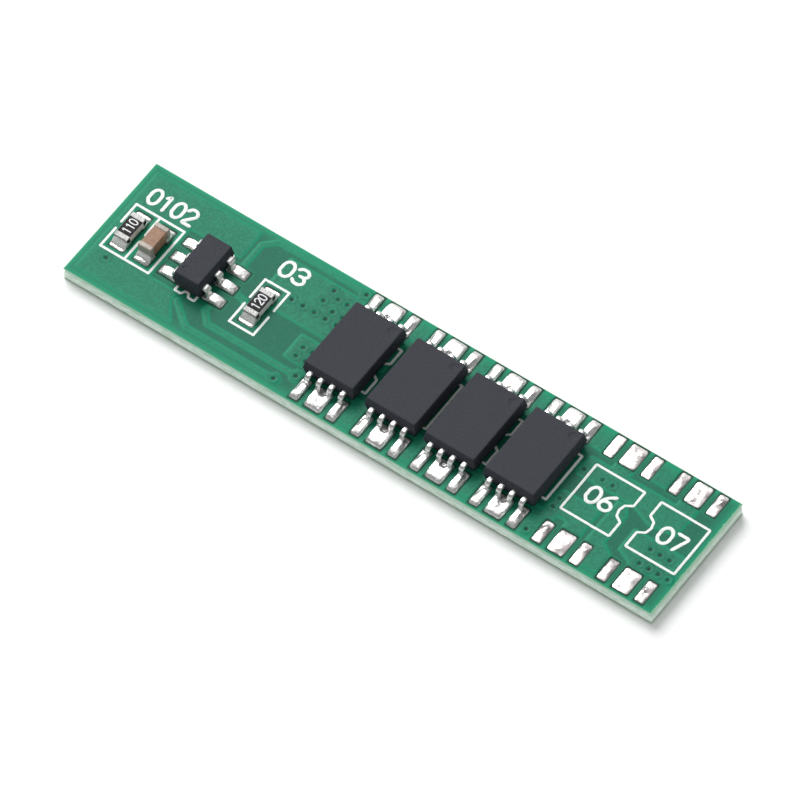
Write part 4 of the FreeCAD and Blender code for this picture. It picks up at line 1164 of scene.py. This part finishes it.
@dataclass
class Package:
    """A moulded package with its leads and solder joints, set where the CAD part has it."""

    name: str
    shape: PackageShape
    turn: Turn
    seed: int
    body_edge: float = 0.055
    lead_edge: float = 0.066
    rise: float = 0.195
    flash: float = 0.012
    seam: float = 0.02
    body_corner: float = 0.08
    dimple_depth: float = 0.024
    dimple_edge: float = 0.004
    dome: float = 0.02
    dome_per_lead: float = 0.04
    fill_outward: float = 0.12

    @property
    def seat(self) -> np.ndarray:
        """The point under the package's middle, at the underside of its feet."""
        leads = Span.of(f"{self.name}_leads")
        return np.array([leads.centre[0], leads.centre[1], leads.low[2]])

    def placed(self, points: np.ndarray) -> np.ndarray:
        """Args: points: N by 3 in the package's frame. Returns: them in the row's frame."""
        spin = np.array(Matrix.Rotation(math.radians(self.turn.value), 3, "Z"))
        return points @ spin.T + self.seat

    def moulding(self, finishes: Finishes) -> None:
        """Args: finishes: the board's materials."""
        shape, edge, flash, seam = self.shape, self.body_edge, self.flash, self.seam
        levels = rim_levels(shape.standoff, edge, False)
        levels += [(shape.parting - seam, 0.0), (shape.parting - flash, -flash),
                   (shape.parting + flash, -flash), (shape.parting + seam, 0.0)]
        levels += rim_levels(shape.top, edge, True, 5)
        rings = []
        for z, inset in levels:
            inset += abs(z - shape.parting) * math.tan(shape.draft)
            half_x, half_y = shape.half_row - inset - flash, shape.half_span - inset - flash
            rings.append(self.placed(ring(rounded_outline(half_x, half_y, self.body_corner), z)))
        draft = Draft()
        draft.add_tube(rings, flat_ends=FLAT_BORDER)
        body = shown(draft.mesh(f"{self.name}_moulded_body", 40), finishes.epoxy)
        self.press_dimple(body)
        fitted(body, Slot.MOULDING, f"{self.name}_body")

    def press_dimple(self, body: bpy.types.Object) -> None:
        """Args: body: the moulding, which gets its pin-one dimple."""
        x, y, radius = self.shape.dimple
        turns = np.linspace(0, 2 * math.pi, 40, endpoint=False)
        circle = np.column_stack([np.cos(turns), np.sin(turns)])
        levels = ((0.75 * radius, -self.dimple_depth), (radius, -self.dimple_edge), (radius, 0.1))
        rings = [ring(circle * reach, self.shape.top + lift, (x, y)) for reach, lift in levels]
        draft = Draft()
        draft.add_tube([self.placed(points) for points in rings])
        tool = shown(draft.mesh("dimple_tool"), None)
        cut = body.modifiers.new("dimple", "BOOLEAN")
        cut.operation, cut.solver, cut.object = "DIFFERENCE", "EXACT", tool
        mesh = settled(body)
        mesh.name = body.name
        mesh.set_sharp_from_angle(angle=math.radians(28))
        bpy.data.objects.remove(tool)

    def lead_mesh(self) -> bpy.types.Mesh:
        """Returns: one lead on the +Y side, at x = 0, in millimetres turned to metres."""
        shape = self.shape
        draft = Draft()
        rings = []
        for y, z, pitch in shape.lead_path():
            outline = rounded_outline(shape.lead_width / 2, shape.lead_thickness / 2, self.lead_edge, 3)
            up = outline[:, 1]
            rings.append(np.column_stack([outline[:, 0], y - up * math.sin(pitch), z + up * math.cos(pitch)]))
        first, last = rings[0].mean(0), rings[-1].mean(0)
        tip = last + (rings[-1] - last) * 0.8 + np.array([0, 0.02, -0.006])
        draft.add_tube([first + (rings[0] - first) * 0.9, *rings, tip])
        return draft.mesh("lead_pattern", 50)

    def leads(self, finishes: Finishes, tree: bpy.types.NodeTree) -> None:
        """Args: finishes: the board's materials. tree: the lead rows' node group."""
        lead = shown(self.lead_mesh(), None)
        host = shown(bpy.data.meshes.new(f"{self.name}_lead_rows"), None)
        modifier = host.modifiers.new("lead_rows", "NODES")
        modifier.node_group = tree
        values = {"Lead": lead, "Count": self.shape.leads, "Pitch": self.shape.pitch * MM,
                  "Centre": tuple(float(value) * MM for value in self.seat),
                  "Turn": math.radians(self.turn.value), "Finish": finishes.lead}
        for item in tree.interface.items_tree:
            if item.in_out == "INPUT":
                modifier[item.identifier] = values[item.name]
        settled(host).name = host.name
        bpy.data.objects.remove(lead)
        fitted(host, Slot.LEAD, f"{self.name}_leads")

    def solder(self, finishes: Finishes) -> None:
        """Args: finishes: the board's materials."""
        shape = self.shape
        generator = np.random.default_rng(self.seed)
        spin = np.array(Matrix.Rotation(math.radians(self.turn.value), 2))
        half = np.abs(spin @ np.array([shape.lead_width / 2, shape.foot / 2]))
        feet = []
        for side in (-1, 1):
            for index in range(shape.leads):
                along = (index - (shape.leads - 1) / 2) * shape.pitch
                place = spin @ np.array([along, side * (shape.lead_reach - shape.foot / 2)]) + self.seat[:2]
                feet.append(Foot(place, half, spin @ np.array([0.0, side])))
        draft = Draft()
        for pad in islands(f"{self.name}_solder"):
            reach = pad.size[:2] / 2 + 0.05
            held = [foot for foot in feet if np.all(np.abs(foot.centre - pad.centre[:2]) < reach)]
            dome = self.dome + self.dome_per_lead * len(held)
            if len(held) > 1:
                # Two leads on one pad: the solder fills the space between them as well
                outward = held[0].outward
                middle = sum(foot.centre for foot in held) / 2 + self.fill_outward * outward
                held.append(Foot(middle, half, outward))
            add_joint(draft, pad, held, self.rise * generator.uniform(0.92, 1.12), generator, dome)
        draft.piece(f"{self.name}_solder_joints", 70, finishes.solder, Slot.SOLDER, f"{self.name}_solder")

    def build(self, finishes: Finishes, tree: bpy.types.NodeTree) -> None:
        """Args: finishes: the board's materials. tree: the lead rows' node group."""
        self.moulding(finishes)
        self.leads(finishes, tree)
        self.solder(finishes)


# Chips


@dataclass
class Chip:
    """A chip that stands on two solder joints."""

    name: str
    seed: int

    def blocks(self, label: str, part: str, spans: Sequence[Span], radius: float,
               material: bpy.types.Material, slot: Slot) -> None:
        """Make one piece of soft blocks.

        Args:
            label: of the piece, after the chip's name.
            part: of the CAD part that it stands for, after the chip's name.
            spans: the blocks.
            radius: of their edges.
            material: its finish. slot: a material slot of the record.
        """
        draft = Draft()
        for span in spans:
            draft.add_tube(soft_block(span.low, span.high, radius), flat_ends=FLAT_BORDER)
        draft.piece(f"{self.name}_{label}", 40, material, slot, f"{self.name}_{part}")

    def joints(self, ends: str, rise: float, finishes: Finishes) -> None:
        """Args: ends: the part that the solder climbs. rise: of the solder. finishes: the materials."""
        generator = np.random.default_rng(self.seed)
        body = Span.of(f"{self.name}_{ends}")
        half = np.array([body.size[0] / 2 - 0.03, 0.15])
        draft = Draft()
        for pad in islands(f"{self.name}_solder"):
            side = 1.0 if pad.centre[1] > body.centre[1] else -1.0
            centre = np.array([body.centre[0], body.centre[1] + side * (body.size[1] / 2 - half[1])])
            foot = Foot(centre, half, np.array([0.0, side]))
            climb = rise * generator.uniform(0.9, 1.15)
            add_joint(draft, pad, [foot], climb, generator, dome=0.05, slope=1.5)
        draft.piece(f"{self.name}_solder_joints", 70, finishes.solder, Slot.SOLDER, f"{self.name}_solder")


@dataclass
class ChipResistor(Chip):
    """A chip resistor with its value printed as three digits."""

    value: str
    coat_lift: float = 0.004

    def build(self, finishes: Finishes) -> None:
        """Args: finishes: the board's materials."""
        core, coat = Span.of(f"{self.name}_substrate"), Span.of(f"{self.name}_overcoat")
        coat = Span(coat.low - [0, 0, 0.01], coat.high + [0, 0, self.coat_lift])
        self.blocks("ceramic_core", "substrate", [core], 0.02, finishes.alumina, Slot.ALUMINA)
        self.blocks("glaze_coat", "overcoat", [coat], 0.018, finishes.glaze, Slot.GLAZE)
        self.print_value(coat, finishes)
        self.blocks("end_plates", "terminals", islands(f"{self.name}_terminals"), 0.035, finishes.chip_plate,
                    Slot.CHIP_PLATE)
        self.joints("terminals", 0.34, finishes)

    def print_value(self, coat: Span, finishes: Finishes) -> None:
        """Args: coat: the glaze's box. finishes: the board's materials."""
        generator = np.random.default_rng(self.seed)
        draft = Draft()
        for stroke in words(self.value, coat.centre, 0.8, 0.46, sideways=True):
            path = softened(stroke, 0.05, 0.03)
            ink_line(draft, path, 0.075, lambda x, y: np.full(np.shape(x), coat.high[2]), 0.006, generator)
        draft.piece(f"{self.name}_printed_value", 50, finishes.digits, Slot.LEGEND)


@dataclass
class ChipCapacitor(Chip):
    """A ceramic chip capacitor with dipped ends."""

    def build(self, finishes: Finishes) -> None:
        """Args: finishes: the board's materials."""
        core = Span.of(f"{self.name}_ceramic_body")
        self.blocks("ceramic_core", "ceramic_body", [core], 0.05, finishes.ceramic, Slot.CERAMIC)
        self.blocks("dipped_ends", "end_caps", islands(f"{self.name}_end_caps"), 0.075, finishes.cap_plate,
                    Slot.CHIP_PLATE)
        self.joints("end_caps", 0.4, finishes)


# Studio


@dataclass(frozen=True)
class Studio:
    """The pale floor, the light and the camera."""

    azimuth: float = 37.703
    elevation: float = 56.094
    roll: float = -2.331
    target: tuple[float, float, float] = (0.495, -0.676, 0.80)
    distance: float = 450.0
    pixels_per_mm: float = 21.1375
    picture: float = 800.0
    sensor: float = 36.0
    floor_half: float = 1.5
    floor_gap: float = 5e-6
    sky: float = 0.46
    tent: tuple[float, float, float] = (-0.34, 0.44, 0.83)
    tent_stops: tuple[tuple[float, float], ...] = (
        (0.0, 0.4), (0.3, 0.13), (0.5, 0.05), (0.66, 0.22), (0.86, 1.0))
    key_place: tuple[float, float, float] = (-0.30, 0.19, 0.40)
    key_size: float = 0.36
    key_power: float = 2.85

    def floor(self) -> None:
        """Lay the floor under the terminals."""
        mesh = bpy.data.meshes.new("studio_floor")
        half, low = self.floor_half, -self.floor_gap
        mesh.from_pydata([(-half, -half, low), (half, -half, low), (half, half, low), (-half, half, low)], [],
                         [(0, 1, 2, 3)])
        shader = Shader("floor_white")
        shader.finish(Base_Color=(1.0, 1.0, 1.0, 1.0), Roughness=0.9, Specular_IOR_Level=0.0)
        shown(mesh, shader.material)

    def lights(self) -> None:
        """Set a soft key light to the upper left and an even sky with a darker rim for reflections."""
        world = bpy.data.worlds.new("studio_sky")
        bpy.context.scene.world = world
        world.use_nodes = True
        graph = Graph(world.node_tree)
        toward = graph.node("ShaderNodeVectorMath", {"operation": "DOT_PRODUCT"})
        graph.set(toward, 0, graph.node("ShaderNodeTexCoord").outputs["Generated"])
        graph.set(toward, 1, Vector(self.tent).normalized())
        tent = graph.ramp(toward.outputs["Value"], *self.tent_stops)
        rays = graph.node("ShaderNodeLightPath").outputs
        colour = graph.mixed(rays["Is Glossy Ray"], (self.sky, self.sky, self.sky), tent)
        colour = graph.mixed(rays["Is Camera Ray"], colour, (1.0, 1.0, 1.0))
        graph.set(graph.tree.nodes["Background"], "Color", colour)
        self.lamp("key_light", self.key_place, self.key_size, self.key_power)

    def lamp(self, name: str, place: tuple[float, float, float], size: float, power: float) -> None:
        """Args: name: of the lamp. place: in metres. size: of its side. power: in watts."""
        data = bpy.data.lights.new(name, "AREA")
        data.size, data.energy = size, power
        lamp = bpy.data.objects.new(name, data)
        lamp.location = place
        lamp.rotation_mode = "QUATERNION"
        lamp.rotation_quaternion = Vector(place).to_track_quat("Z", "Y")
        bpy.context.scene.collection.objects.link(lamp)

    def camera(self) -> None:
        """Set the camera at the photograph's angle."""
        turn, lift, roll = (math.radians(angle) for angle in (self.azimuth, self.elevation, self.roll))
        back = Vector((math.sin(turn) * math.cos(lift), -math.cos(turn) * math.cos(lift), math.sin(lift)))
        right = Vector((math.cos(turn), math.sin(turn), 0))
        up = back.cross(right)
        rolled_right = right * math.cos(roll) + up * math.sin(roll)
        rolled_up = up * math.cos(roll) - right * math.sin(roll)
        data = bpy.data.cameras.new("photo_camera")
        data.sensor_width = self.sensor
        data.lens = self.pixels_per_mm * self.distance * self.sensor / self.picture
        data.clip_start, data.clip_end = 0.01, 10
        camera = bpy.data.objects.new("photo_camera", data)
        spin = Matrix((rolled_right, rolled_up, back)).transposed().to_4x4()
        camera.matrix_world = Matrix.Translation((Vector(self.target) + back * self.distance) * MM) @ spin
        bpy.context.scene.collection.objects.link(camera)
        bpy.context.scene.camera = camera


def dress_frame(finishes: Finishes) -> None:
    """Args: finishes: materials for the CAD nodes that stay in view."""
    dressing = {
        "copper_top": finishes.coated, "copper_bottom": finishes.copper, "via_barrels": finishes.copper,
        "solder_mask_bottom": finishes.mask_under, "positive_terminal": finishes.tin,
        "battery_negative_terminal": finishes.tin, "load_negative_terminal": finishes.tin,
    }
    for name, material in dressing.items():
        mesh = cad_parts[name].data
        mesh.materials.clear()
        mesh.materials.append(material)


def main() -> None:
    """Build the board's looks in order, and report each piece."""
    logging.basicConfig(level=logging.INFO, format="%(name)s: %(message)s")
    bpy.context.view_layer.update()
    finishes = Finishes()
    dress_frame(finishes)
    BoardCore().build(finishes)
    skin = BoardSkin().build(finishes)
    Legend().build(finishes, skin)
    tree = lead_row_tree()
    packages = [Package("controller", CONTROLLER, Turn.QUARTER, 21)]
    packages += [Package(f"mosfet_{number}", MOSFET, Turn.NONE, 30 + number) for number in range(1, 5)]
    for package in packages:
        package.build(finishes, tree)
    for part in (SparePlace("spare_1", 41), SparePlace("spare_2", 42), ChipResistor("resistor_1", 51, "110"),
                 ChipResistor("resistor_2", 52, "120"), ChipCapacitor("capacitor", 53)):
        part.build(finishes)
    studio = Studio()
    studio.floor()
    studio.lights()
    studio.camera()
    bpy.context.scene.view_settings.view_transform = "Standard"


if __name__ == "__main__":
    main()
